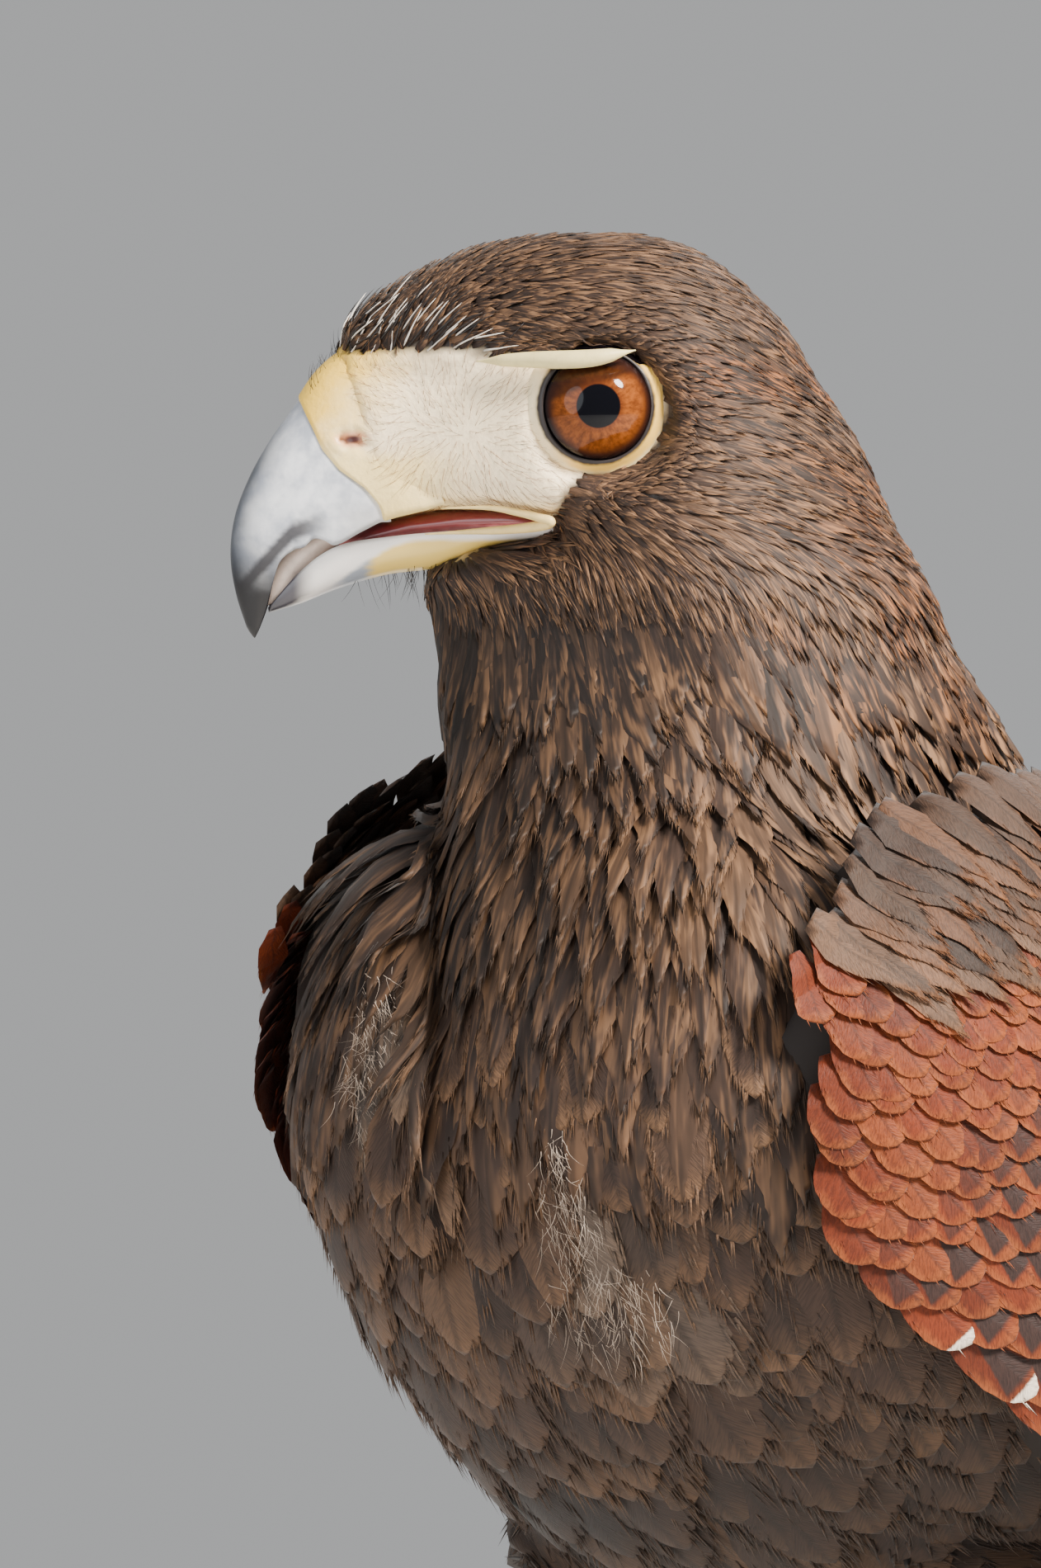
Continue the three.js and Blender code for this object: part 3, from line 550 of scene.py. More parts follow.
def modified(made, kind, **settings):
    """The mesh with one modifier applied."""
    modifier = made.modifiers.new(kind.lower(), kind)
    for key, value in settings.items():
        setattr(modifier, key, value)
    depsgraph = bpy.context.evaluated_depsgraph_get()
    result = bpy.data.meshes.new_from_object(made.evaluated_get(depsgraph))
    made.modifiers.remove(modifier)
    made.data = result
    return made


skin = joined("skin", [
    skull_and_neck(),
    loft("trunk", torso_rings()),
    thigh(1),
    thigh(-1),
    loft("face", jaw_rings(UPPER_JAW, np.linspace(0, 4.3, 30), 48, 0.24, 0.5)),
    loft("chin", jaw_rings(CHIN, np.linspace(0, 3, 16), 32, 0.6, 0.8)),
])
modified(skin, "REMESH", mode="VOXEL", voxel_size=SKIN_VOXEL)
modified(skin, "SMOOTH", factor=0.6, iterations=SKIN_ROUNDS)
neck_base = skin.vertex_groups.new(name="neck_base")
for point in skin.data.vertices:
    height = point.co.z / MM
    neck_base.add([point.index], float(ease(height, 262, 282) * (1 - ease(height, 312, 326))), "REPLACE")
modified(skin, "SMOOTH", factor=0.8, iterations=NECK_ROUNDS, vertex_group="neck_base")
print("skin", len(skin.data.vertices), "points")

# %% [markdown]
# ## What grows where
# Every point of the skin learns a few facts by rule: whether it is bare, how long and wide its feathers
# are, which way they lie and what colour they are. Painting such maps by hand would do as well, but a rule
# can be read, and it fits again when a size changes.

# %% Points, normals and places on the bird
def triples(items, fact):
    """One fact of three numbers from each item of a mesh."""
    found = np.empty(len(items) * 3, np.float32)
    items.foreach_get(fact, found)
    return found.reshape(-1, 3).astype(float)


def points_of(mesh):
    return triples(mesh.vertices, "co")


def normals_of(mesh):
    return triples(mesh.vertex_normals, "vector")


def store(mesh, name, values):
    """A named attribute of points: numbers or vectors."""
    values = np.asarray(values, np.float32)
    kind = "FLOAT" if values.ndim == 1 else "FLOAT_VECTOR"
    held = mesh.attributes.get(name) or mesh.attributes.new(name, kind, "POINT")
    held.data.foreach_set("value" if kind == "FLOAT" else "vector", values.ravel())


def noise_at(points, size, seed):
    """Soft random hills about size millimetres across, from a few sine waves."""
    random = np.random.default_rng(seed)
    total = np.zeros(len(points))
    for _ in range(7):
        wave = random.normal(size=3)
        wave *= random.uniform(0.7, 1.5) * 2 * math.pi / size / np.linalg.norm(wave)
        total += np.sin(points @ wave + random.uniform(0, 2 * math.pi))
    return total / 3.7


spots = on_bird(points_of(skin.data))
normals = normals_of(skin.data)
head_spots = to_head(spots)
ahead, left, rise = head_spots.T
aside = np.abs(left)

# %% The bare face
FACE_EDGE = [(33.4, 7.8), (26.8, 7.2), (20, 7.2), (13, 6.9), (4, 7.1), (-3, 6.7), (-7.0, 4.7), (-8.4, 0.4),
             (-6.9, -4.2), (-3.6, -6.7), (1.2, -7.5), (4.2, -10.2), (5.2, -13.2), (7.4, -15.4), (12, -16.2),
             (16.5, -17.4), (19, -18.4)]


def inside_outline(x, y, outline):
    """Distance inside a closed outline, less than 0 outside it."""
    corners = np.array(outline, float)
    inside = np.zeros(len(x), bool)
    nearest = np.full(len(x), 1e9)
    for (x0, y0), (x1, y1) in zip(corners, np.roll(corners, -1, axis=0)):
        crossing = (y0 > y) != (y1 > y)
        with np.errstate(divide="ignore", invalid="ignore"):
            cut = (x1 - x0) * (y - y0) / (y1 - y0) + x0
        inside ^= crossing & (x < cut)
        length = (x1 - x0) ** 2 + (y1 - y0) ** 2
        t = np.clip(((x - x0) * (x1 - x0) + (y - y0) * (y1 - y0)) / length, 0, 1)
        nearest = np.minimum(nearest, np.hypot(x - x0 - t * (x1 - x0), y - y0 - t * (y1 - y0)))
    return np.where(inside, nearest, -nearest)


face_outline = [(60, 7.8), *FACE_EDGE, (60, -18.4)]
bareness = inside_outline(ahead, rise, face_outline)
bareness = bareness - 0.55 * noise_at(spots, 3.2, 21) * ease(ahead, 8, 16)
bareness = np.where((rise > 6.9) & (aside < 9) & (ahead > 22), np.minimum(bareness, ahead - 33.0), bareness)
bare = ease(bareness, -0.6, 0.8)

# %% Draw the skin in under its coat
on_head = ease(rise, -34, -22)
on_neck = (1 - on_head) * ease(spots[:, 2], 262, 300)
on_leg = ease(-spots[:, 2], -172, -150) * ease(60 - spots[:, 1], 0, 6)
coat_depth = blend(blend(4.6, 3.6, on_neck), 0.9, on_head)
coat_depth = blend(coat_depth, 2.6, on_leg)
nape = on_head * ease(-ahead, 8, 34)
coat_depth = coat_depth + 1.3 * nape
coat_depth = coat_depth * (1 - bare)

# The breast feathers part along a furrow to the right of the middle
CREASE = -50.0
from_crease = spots[:, 0] + spots[:, 1] - CREASE
crease = np.exp(-(from_crease / 5.0) ** 2) * ease(spots[:, 2], 262, 280) * (1 - ease(spots[:, 2], 306, 320))
coat_depth = coat_depth + 4.0 * crease * (spots[:, 1] < 10)

# The eye sits in a socket: near its axis the skin sinks behind the ball
LID_SIDE = 17.6
from_axis = np.hypot(ahead - EYE_FORWARD, rise - EYE_UP)
ball = EYE_SIDE + np.sqrt(np.maximum(EYE_RADIUS ** 2 - np.minimum(from_axis, EYE_RADIUS) ** 2, 0)) - 2.2
rim = LID_SIDE - 0.7 + np.maximum(from_axis - 9.0, 0) * 1.2
limit = np.where(from_axis < 8.0, np.minimum(ball, LID_SIDE - 1.2), rim)
sunk = np.where(from_axis < 12, np.minimum(aside, limit), aside)
settled = spots - normals * coat_depth[:, None]
settled_head = to_head(settled)
settled_head[:, 1] = np.sign(settled_head[:, 1]) * np.where(
    (from_axis < 12) & (rise > -14), np.minimum(np.abs(settled_head[:, 1]), sunk), np.abs(settled_head[:, 1])
)
settled = from_head(settled_head)
move_points(skin.data, settled)
smooth(skin)
normals = normals_of(skin.data)
print("coat depth up to", round(float(coat_depth.max()), 1), "mm")

# %% [markdown]
# ## The lie of the coat
# Feathers point away from the bill over the crown and cheeks, fall down the throat and neck, and run down
# and back along the trunk to the tail. One direction for each point is enough: the part of it that lies
# in the skin is the way its feather lies.

# %% Lie, length and width
head_lie = AHEAD * -1.0 - UPWARD * 0.18
throat_lie = AHEAD * -0.35 - UPWARD
trunk_lie = np.array([0.0, 0.62, -0.78])
neck_lie = np.array([0.0, 0.12, -1.0])
leg_lie = np.array([0.0, 0.1, -1.0])
under_jaw = ease(-rise, 10, 22)
lie = blend(head_lie, throat_lie, under_jaw[:, None])
steep = ease(ahead, 15, 25) * ease(rise, 3, 6) * ease(aside, 2, 8)
lie = blend(lie, AHEAD * -0.75 + UPWARD * 0.75, steep[:, None])
lie = blend(lie, neck_lie, (1 - on_head)[:, None])
on_trunk = 1 - ease(spots[:, 2], 246, 292)
lie = blend(lie, trunk_lie, on_trunk[:, None])
lie = blend(lie, leg_lie, on_leg[:, None])
sway = np.stack([noise_at(spots, size, seed) for size, seed in [(34, 3), (40, 4), (38, 5)]], axis=-1)
from_whorl = (ahead - 16)[:, None] * AHEAD + (rise + 3)[:, None] * UPWARD
from_whorl /= np.maximum(np.linalg.norm(from_whorl, axis=1), 1)[:, None]
lie = blend(lie, from_whorl + 0.35 * head_lie, (bare * ease(ahead, 4, 9))[:, None])
fine_sway = np.stack([noise_at(spots, 7, seed) for seed in (13, 14, 15)], axis=-1)
lie = lie + sway * blend(0.10, 0.16, on_trunk)[:, None]
lie = lie + fine_sway * (0.1 + 0.35 * bare)[:, None] * on_head[:, None]
lie -= normals * np.sum(lie * normals, axis=1)[:, None]
lie /= np.maximum(np.linalg.norm(lie, axis=1), 1e-6)[:, None]

feather_length = blend(blend(30, 19, on_neck), 8.8, on_head)
feather_length = blend(feather_length, 22, on_leg)
feather_length = feather_length + 3.0 * nape
feather_length = blend(feather_length, 3.4, on_head * ease(ahead, 4, 16) * ease(rise, -14, -8))
feather_length = blend(feather_length, 4.2, on_head * ease(9.5 - np.abs(from_axis - 11), 4, 8))
feather_width = blend(blend(16.5, 5.2, on_neck), 1.25, on_head)
feather_width = blend(feather_width, 10, on_leg) + 0.9 * nape
store(skin.data, "lie", lie)
store(skin.data, "outward", normals)
store(skin.data, "feather_length", feather_length * MM)
store(skin.data, "feather_width", feather_width * MM)
store(skin.data, "coat_depth", np.maximum(coat_depth, 0.5) * MM)

# %% Where each kind of feather grows
left_side = ease(spots[:, 0], -1, 1)
mantle = ease(spots[:, 1] - (292 - spots[:, 2]) * 0.9, 22, 34)
feathered = 1 - ease(bareness, -0.2, 0.2)
head_side = ease(left, -0.5, 0.5)
head_part = ease(rise, -30, -25)
neck_part = (1 - ease(rise, -25, -21)) * ease(spots[:, 2], 276, 282)
leg_part = (spots[:, 2] < 160) * (spots[:, 1] < 80) * (np.abs(spots[:, 0]) > 8) * 1.0
trunk_part = (1 - ease(spots[:, 2], 286, 294)) * (1 - leg_part)
on_forehead = ease(ahead, 12, 20) * ease(rise, 5.5, 7) * (1 - ease(rise, 9, 13.5))
grow_face = ease(bareness, 0.2, 1.2) * (from_axis > 9.4) * ease(-ahead, -33, -29)
for name, part in [
    ("grow_head_left", head_part * feathered * head_side),
    ("grow_head_right", head_part * feathered * (1 - head_side)),
    ("grow_neck", neck_part * feathered),
    ("grow_breast_left", trunk_part * (1 - mantle) * left_side),
    ("grow_breast_right", trunk_part * (1 - mantle) * (1 - left_side)),
    ("grow_back", trunk_part * mantle), ("grow_leg", leg_part),
    ("grow_forehead", on_forehead * feathered), ("grow_face", grow_face),
]:
    store(skin.data, name, part)

# %% An unwrap of the skin: an angle round it and a share of the way down it
head_round = np.stack([ahead + 6, left, np.zeros(len(ahead))], axis=-1)
head_round /= np.maximum(np.linalg.norm(head_round, axis=1), 1e-6)[:, None]
head_round[:, 2] = np.clip((rise + 26) / 50, 0, 1)
trunk_row = TORSO(np.clip((305 - spots[:, 2]) / 20, 0, 8))
trunk_round = np.stack([spots[:, 0], spots[:, 1] - trunk_row[:, 0], np.zeros(len(ahead))], axis=-1)
trunk_round /= np.maximum(np.linalg.norm(trunk_round, axis=1), 1e-6)[:, None]
trunk_round[:, 2] = np.clip((335 - spots[:, 2]) / 235, 0, 1)
store(skin.data, "unwrap_head", head_round)
store(skin.data, "unwrap_trunk", trunk_round)

# %% [markdown]
# ## Colours of the coat
# A Harris's hawk is chocolate brown, with chestnut shoulders and thighs and a little white at the root of
# the tail. Each point gets the colour of the feather that roots there and the colour and strength of that
# feather's paler fringe. The coat is darkened under the jaw, on the throat and low on the trunk as painted
# shade.

# %% Markings, and painted shade, by rule
BROWN = tint_of(50, 35, 27)
GREY_BROWN = tint_of(68, 50, 40)
DARK = tint_of(34, 26, 23)
CHESTNUT = tint_of(100, 44, 20)
BUFF = tint_of(156, 120, 86)
WARM = tint_of(150, 92, 50)
WHITE = tint_of(232, 226, 220)
DOWN_PALE = tint_of(150, 132, 116)


def tinted(base, other, share):
    return base + (other - base) * np.asarray(share)[..., None]


tint = np.tile(BROWN, (len(spots), 1))
tint = tinted(tint, GREY_BROWN, on_head * 0.3 + 0.45 * ease(noise_at(spots, 26, 8), -0.4, 0.6))
# Painted shade: the coat is darker under the jaw
tint = tinted(tint, DARK, on_head * under_jaw * ease(ahead, -16, 0) * 0.55)
on_thigh = ease(-spots[:, 2], -196, -176) * ease(78 - spots[:, 1], 0, 8) * ease(np.abs(spots[:, 0]), 8, 14)
tint = tinted(tint, CHESTNUT, np.maximum(on_leg, on_thigh) * 0.9)
# Painted shade: the lower trunk, away from the chestnut legs, and the underside of the throat are darkened,
# and the fringes take the same painted shade
belly_painted_shade = 0.6 * (1 - ease(spots[:, 2], 215, 275)) * (1 - on_leg) * (1 - on_thigh)
throat_painted_shade = 0.45 * ease(-rise, 17, 26) * ease(ahead, -14, 6) * ease(spots[:, 2], 285, 300)
painted_shade_factor = (1 - np.maximum(belly_painted_shade, throat_painted_shade))[:, None]
tint *= painted_shade_factor * (1 - 0.18 * on_head * ease(rise, -4, 10))[:, None]

# Tufts of pale down: the middle, how wide, how tall, how many strands
DOWN_TUFTS = [((-13.6, -44.6, 273), 3.0, 8.0, 260), ((18.5, -41.7, 256), 2.4, 7.0, 220),
              ((19.6, -36.2, 243), 6.0, 4.0, 240)]
for centre, wide, tall, _ in DOWN_TUFTS:
    gap = np.linalg.norm((spots - np.array(centre) - [0, 0, 13]) / [wide * 1.3, wide * 3, tall * 0.7], axis=1)
    tint = tinted(tint, DOWN_PALE, 0.6 * np.exp(-gap ** 2))
store(skin.data, "tint", tint)
behind_eye = on_head * ease(-ahead, 5, 12) * ease(rise, -4, 4) * (1 - ease(rise, 11, 17))
warmth = np.maximum(behind_eye, nape) * ease(noise_at(spots, 12, 9), -0.6, 0.4)
fringe = tinted(np.tile(BUFF, (len(spots), 1)), WARM, 0.25 + 0.7 * warmth) * painted_shade_factor
store(skin.data, "fringe", fringe)
hind_neck = on_neck * ease(spots[:, 1] + 0.5 * np.abs(spots[:, 0]), -6, 26)
cheek = on_head * ease(-rise, 0, 8) * (1 - ease(-rise, 26, 32))
fringe_share = 0.1 + 0.3 * on_neck + 0.4 * on_head + 0.15 * cheek + 0.35 * warmth + 0.25 * hind_neck
store(skin.data, "fringe_share", np.clip(fringe_share, 0, 0.85))

# %% [markdown]
# ## Feather shapes
# A feather is a thin closed blade: a ridge where the shaft runs, two sloping webs and a flat underside.
# Its edge goes in and out where barbs part. Each shape is made once, in units of its own length and
# width, and keeps its shape as an attribute called blade, so that the tree below can lay it on the body.
# A few shapes of each kind, drawn with different seeds, keep the coat from looking stamped.

# %% Blades
shape_sets = {}
WISP_THICK = 0.007


def shape_mesh(name, points, faces):
    """A smooth closed mesh that remembers its own shape as the attribute blade."""
    mesh = raw_mesh(name, points, faces)
    turn_outwards(mesh)
    store(mesh, "blade", points)
    mesh.shade_smooth()
    return mesh


def blade_mesh(name, stations, profile, notch, columns, cup, wisps, seed):
    """One feather of unit length and width: stations along it, columns across it, then loose wisps."""
    random = np.random.default_rng(seed)
    across = np.linspace(-1, 1, columns)
    points, faces = [], []
    for k in range(stations):
        t = 1 - (1 - k / stations) ** 1.35
        half = 0.5 * profile(t)
        for c in across:
            tooth = notch * ease(t, 0.15, 0.6) * (random.uniform(0.5, 1.3) if k % 2 else 0) * abs(c) ** 3
            sweep = 0 if k % 2 else 0.0875 * notch * c * c
            points.append((t + sweep - 0.02 * abs(c), c * half * (1 - tooth), cup * (1 - c * c)))
    points.append((1.0, 0.0, 0.0))
    tip = len(points) - 1
    for k in range(stations - 1):
        a = k * columns
        for c in range(columns - 1):
            faces.append((a + c, a + c + 1, a + columns + c + 1, a + columns + c))
        faces.append((a + columns - 1, a, a + columns, a + 2 * columns - 1))
    last = (stations - 1) * columns
    faces += [(last + c, last + c + 1, tip) for c in range(columns - 1)]
    faces.append((last + columns - 1, last, tip))
    faces.append(tuple(range(columns))[::-1])
    for _ in range(wisps):
        t = 0.97 - 0.6 * random.random() ** 1.6
        side = random.choice([-1, 1])
        reach = random.uniform(0.06, 0.19)
        half = 0.5 * profile(t) * random.uniform(0.5, 0.95)
        slant = random.uniform(0.35, 1.0) * (1.1 - t)
        root = np.array([t, side * half, 0.01])
        end = root + [reach, side * reach * slant, random.uniform(0.0, 0.05)]
        start = len(points)
        for offset in ([0, -2 * WISP_THICK, 0], [0, 2 * WISP_THICK, 0], [0, 0, WISP_THICK]):
            points.append(tuple(root + offset))
        points.append(tuple(end))
        faces += [(start, start + 2, start + 1), (start, start + 1, start + 3),
                  (start + 1, start + 2, start + 3), (start + 2, start, start + 3)]
    mesh = shape_mesh(name, points, faces)
    sharp = mesh.attributes.new("sharp_edge", "BOOLEAN", "EDGE")
    rims = {(k * columns + e, (k + 1) * columns + e) for k in range(stations - 1) for e in (0, columns - 1)}
    sharp.data.foreach_set("value", [tuple(sorted(edge.vertices)) in rims for edge in mesh.edges])
    return mesh


def keep_shapes(name, meshes):
    """A collection of like shapes, kept out of the scene."""
    shape_sets[name] = bpy.data.collections.new(name)
    for mesh in meshes:
        shape_sets[name].objects.link(bpy.data.objects.new(mesh.name, mesh))


def shape_set(name, variants, **sizes):
    """A few feathers of one kind, each from a seed of its own."""
    keep_shapes(name, [blade_mesh(f"{name}_{seed}", seed=seed + 1, **sizes) for seed in range(variants)])


def lance(t):
    """Widest near the root, then tapering to a point."""
    if t < 0.75:
        return 0.35 + 0.65 * math.sin(math.pi * min(t * 1.15 + 0.12, 1)) ** 0.7
    return 1.612 * (1 - t)


def outline(rows):
    """A feather's width along its length, from rows of (share of the length, share of the width)."""
    widths = between(rows)
    return lambda t: float(widths(t)[0])


leaf = outline([[0, 0.35], [0.2, 0.78], [0.5, 1.0], [0.72, 0.94], [0.88, 0.66], [0.96, 0.36], [1, 0.08]])
quill = outline([[0, 0.35], [0.2, 0.85], [0.5, 1.0], [0.8, 0.94], [0.93, 0.7], [1, 0.1]])
scale = outline([[0, 0.4], [0.3, 0.9], [0.62, 1.0], [0.84, 0.82], [0.95, 0.5], [1, 0.1]])

shape_set("small_feather", 4, stations=6, profile=lance, notch=0.0, columns=3, cup=0.12, wisps=4)
shape_set("neck_feather", 4, stations=8, profile=lance, notch=0.1, columns=3, cup=0.08, wisps=24)
shape_set("body_feather", 5, stations=11, profile=leaf, notch=0.05, columns=5, cup=0.03, wisps=40)
shape_set("covert", 5, stations=11, profile=scale, notch=0.03, columns=5, cup=0.05, wisps=8)
shape_set("quill", 3, stations=26, profile=quill, notch=0.03, columns=5, cup=0.05, wisps=0)


def hair_mesh(name, bend):
    """A bristle: a thin three-sided spine that tapers to a point and curves off the skin."""
    points, faces = [], []
    rings = 5
    for k in range(rings):
        t = k / rings
        for corner in range(3):
            turn = 2 * math.pi * corner / 3
            thick = 0.5 * (1 - 0.75 * t)
            points.append((t, thick * math.cos(turn), bend * t * t + thick * math.sin(turn)))
    points.append((1.0, 0.0, bend))
    for k in range(rings - 1):
        for j in range(3):
            a, b = 3 * k + j, 3 * k + (j + 1) % 3
            faces.append((a, b, b + 3, a + 3))
    last = 3 * (rings - 1)
    faces += [(last + j, last + (j + 1) % 3, 3 * rings) for j in range(3)]
    faces.append((2, 1, 0))
    return shape_mesh(name, points, faces)


keep_shapes("hair", [hair_mesh(f"hair_{index}", bend) for index, bend in enumerate([0.0, 6.0, 12.0])])

# %% [markdown]
# ## Laying feathers on the skin
# The tree scatters roots on the skin, sets a blade on each, then bends every blade to the body: each of
# its points is moved to the nearest place on the skin and lifted off it, a little more towards the tip,
# so that a feather always covers the roots of the next. Particle hair could do the scattering, but it
# has no thickness, and the finished piece has to be plain mesh.

# %% The plumage tree
def tree_with_inputs(name, inputs):
    """The bench of a Geometry Nodes tree with named inputs, and a wire for each input."""
    tree = bpy.data.node_groups.new(name, "GeometryNodeTree")
    bench = Bench(tree)
    tree.interface.new_socket(name="Geometry", in_out="OUTPUT", socket_type="NodeSocketGeometry")
    for label, (kind, value) in inputs.items():
        socket = tree.interface.new_socket(name=label, in_out="INPUT", socket_type=f"NodeSocket{kind}")
        if value is not None:
            socket.default_value = value
    entry = tree.nodes.new("NodeGroupInput")
    wires = {label: Wire(bench, entry.outputs[label]) for label in inputs}
    return bench, wires


def read(bench, name, kind="FLOAT_VECTOR"):
    return bench.make("GeometryNodeInputNamedAttribute", {"data_type": kind}, Name=name, out="Attribute")


def keep(bench, geometry, name, value, kind="FLOAT_VECTOR", domain="POINT"):
    settings = {"data_type": kind, "domain": domain}
    return bench.make("GeometryNodeStoreNamedAttribute", settings, geometry, Name=name, Value=value)


def chance(bench, low, high, seed, kind="FLOAT"):
    return bench.make("FunctionNodeRandomValue", {"data_type": kind}, low, high, Seed=seed)


def shape_of(bench, thing):
    """The mesh of an object that is an input of the tree."""
    return bench.make("GeometryNodeObjectInfo", {"transform_space": "ORIGINAL"}, thing, out="Geometry")


def blades_on(bench, points, shapes, pick):
    """One shape of the collection on every point, made real."""
    group = bench.make("GeometryNodeCollectionInfo", {"transform_space": "ORIGINAL"}, shapes,
                       Separate_Children=True, Reset_Children=True)
    copies = bench.make("GeometryNodeInstanceOnPoints", {}, points, Instance=group, Pick_Instance=True,
                        Instance_Index=pick)
    return bench.make("GeometryNodeRealizeInstances", {}, copies)


def nearest(bench, surface, name, place):
    """An attribute of a surface, read at its nearest place."""
    return bench.make("GeometryNodeSampleNearestSurface", {"data_type": "FLOAT_VECTOR"}, surface,
                      Value=read(bench, name), Sample_Position=place, out="Value")


# How wide a feather's own patch of the unwrap is
PATCH = 0.003


def finish_tree(bench, blades, place, material):
    """Every tree ends the same way: points moved, a patch of the unwrap for each blade, one material."""
    laid = bench.make("GeometryNodeSetPosition", {}, blades, Position=place)
    patch = read(bench, "root_flat") + read(bench, "blade").scaled(PATCH)
    laid = keep(bench, laid, "OFBake", patch, "FLOAT2", "CORNER")
    done = bench.make("GeometryNodeSetMaterial", {}, laid, Material=material)
    exit_node = bench.tree.nodes.new("NodeGroupOutput")
    bench.tree.links.new(done.socket, exit_node.inputs[0])
    return bench.tree


def plumage_tree():
    bench, wire = tree_with_inputs("plumage", {
        "Skin": ("Object", None), "Shapes": ("Collection", None), "Where": ("String", ""),
        "Unwrap": ("String", ""), "Spacing": ("Float", 0.003), "Seed": ("Int", 1),
        "Length": ("Float", 1.0), "Width": ("Float", 1.0), "Lift": ("Float", 1.0), "Stray": ("Float", 0.15),
        "Variants": ("Int", 4), "Material": ("Material", None),
    })
    surface = shape_of(bench, wire["Skin"])
    roots = bench.make(
        "GeometryNodeDistributePointsOnFaces", {"distribute_method": "POISSON"}, surface,
        Distance_Min=wire["Spacing"], Density_Max=2.5 / (wire["Spacing"] * wire["Spacing"]),
        Density_Factor=read(bench, wire["Where"], "FLOAT"), Seed=wire["Seed"],
    )
    outward = read(bench, "outward").unit()
    stray = chance(bench, (-1.0,) * 3, (1.0,) * 3, 7, "FLOAT_VECTOR")
    way = read(bench, "lie") + stray.scaled(wire["Stray"])
    way = (way - outward.scaled(way.dot(outward))).unit()
    unwrap = read(bench, wire["Unwrap"])
    turn = bench.maths("ARCTAN2", unwrap.part("Y"), unwrap.part("X"))
    flat = bench.vector(turn / (2 * math.pi) + 0.5, unwrap.part("Z"), 0.0)
    length = read(bench, "feather_length", "FLOAT") * wire["Length"] * chance(bench, 0.82, 1.18, 3)
    width = read(bench, "feather_width", "FLOAT") * wire["Width"] * chance(bench, 0.88, 1.12, 4)
    lift = read(bench, "coat_depth", "FLOAT") * wire["Lift"] * chance(bench, 0.75, 1.15, 5)
    points = roots
    for name, value in [
        ("root", bench.make("GeometryNodeInputPosition", {})), ("way", way), ("side", outward.cross(way)),
        ("root_flat", flat), ("size", bench.vector(length, width, lift)),
    ]:
        points = keep(bench, points, name, value)
    points = keep(bench, points, "luck", chance(bench, 0.0, 1.0, 6), "FLOAT")
    blades = blades_on(bench, points, wire["Shapes"], chance(bench, 0, wire["Variants"] - 1, 8, "INT"))
    blade, size = read(bench, "blade"), read(bench, "size")
    along = read(bench, "way").scaled(blade.part("X") * size.part("X"))
    across = read(bench, "side").scaled(blade.part("Y") * size.part("Y"))
    spread = read(bench, "root") + along + across
    touching = bench.make("GeometryNodeProximity", {"target_element": "FACES"}, surface,
                          Sample_Position=spread, out="Position")
    facing = nearest(bench, surface, "outward", spread).unit()
    height = size.part("Z") * (blade.part("X") ** 0.8) + blade.part("Z") * size.part("Y")
    return finish_tree(bench, blades, touching + facing.scaled(height), wire["Material"])


def grown(name, tree, **inputs):
    """The result of a tree as a plain mesh object; its inputs are set by the identifier of each socket."""
    made = shown(bpy.data.objects.new(name, bpy.data.meshes.new(name)))
    modifier = made.modifiers.new("grow", "NODES")
    modifier.node_group = tree
    for item in tree.interface.items_tree:
        if item.in_out == "INPUT" and item.name in inputs:
            modifier[item.identifier] = inputs[item.name]
    depsgraph = bpy.context.evaluated_depsgraph_get()
    result = bpy.data.meshes.new_from_object(made.evaluated_get(depsgraph))
    made.modifiers.remove(modifier)
    made.data = result
    made.data.name = name
    print(name, len(triangles_of(result)), "triangles")
    return made


plumage = plumage_tree()

# %% [markdown]
# ## The look of a feather
# The blade attribute says where a point lies on its own feather, so one material serves the whole coat:
# the root's tint, a paler fringe at the tip and edges, a dark shaft and fine streaks along the barbs.

# %% Feather material
def new_material(name):
    made = bpy.data.materials.new(name)
    made.use_nodes = True
    return made, Bench(made.node_tree)


def finish_material(bench, **sockets):
    """A Principled surface with plain constants set on its sockets and wires linked to the rest."""
    shader = bench.make("ShaderNodeBsdfPrincipled", {}, **sockets)
    bench.make("ShaderNodeOutputMaterial", {}, shader)


def painted(bench, name, kind="Vector"):
    return bench.make("ShaderNodeAttribute", {"attribute_name": name}, out=kind)


def bumped(bench, height, strength, distance):
    return bench.make("ShaderNodeBump", {}, Strength=strength, Distance=distance, Height=height)


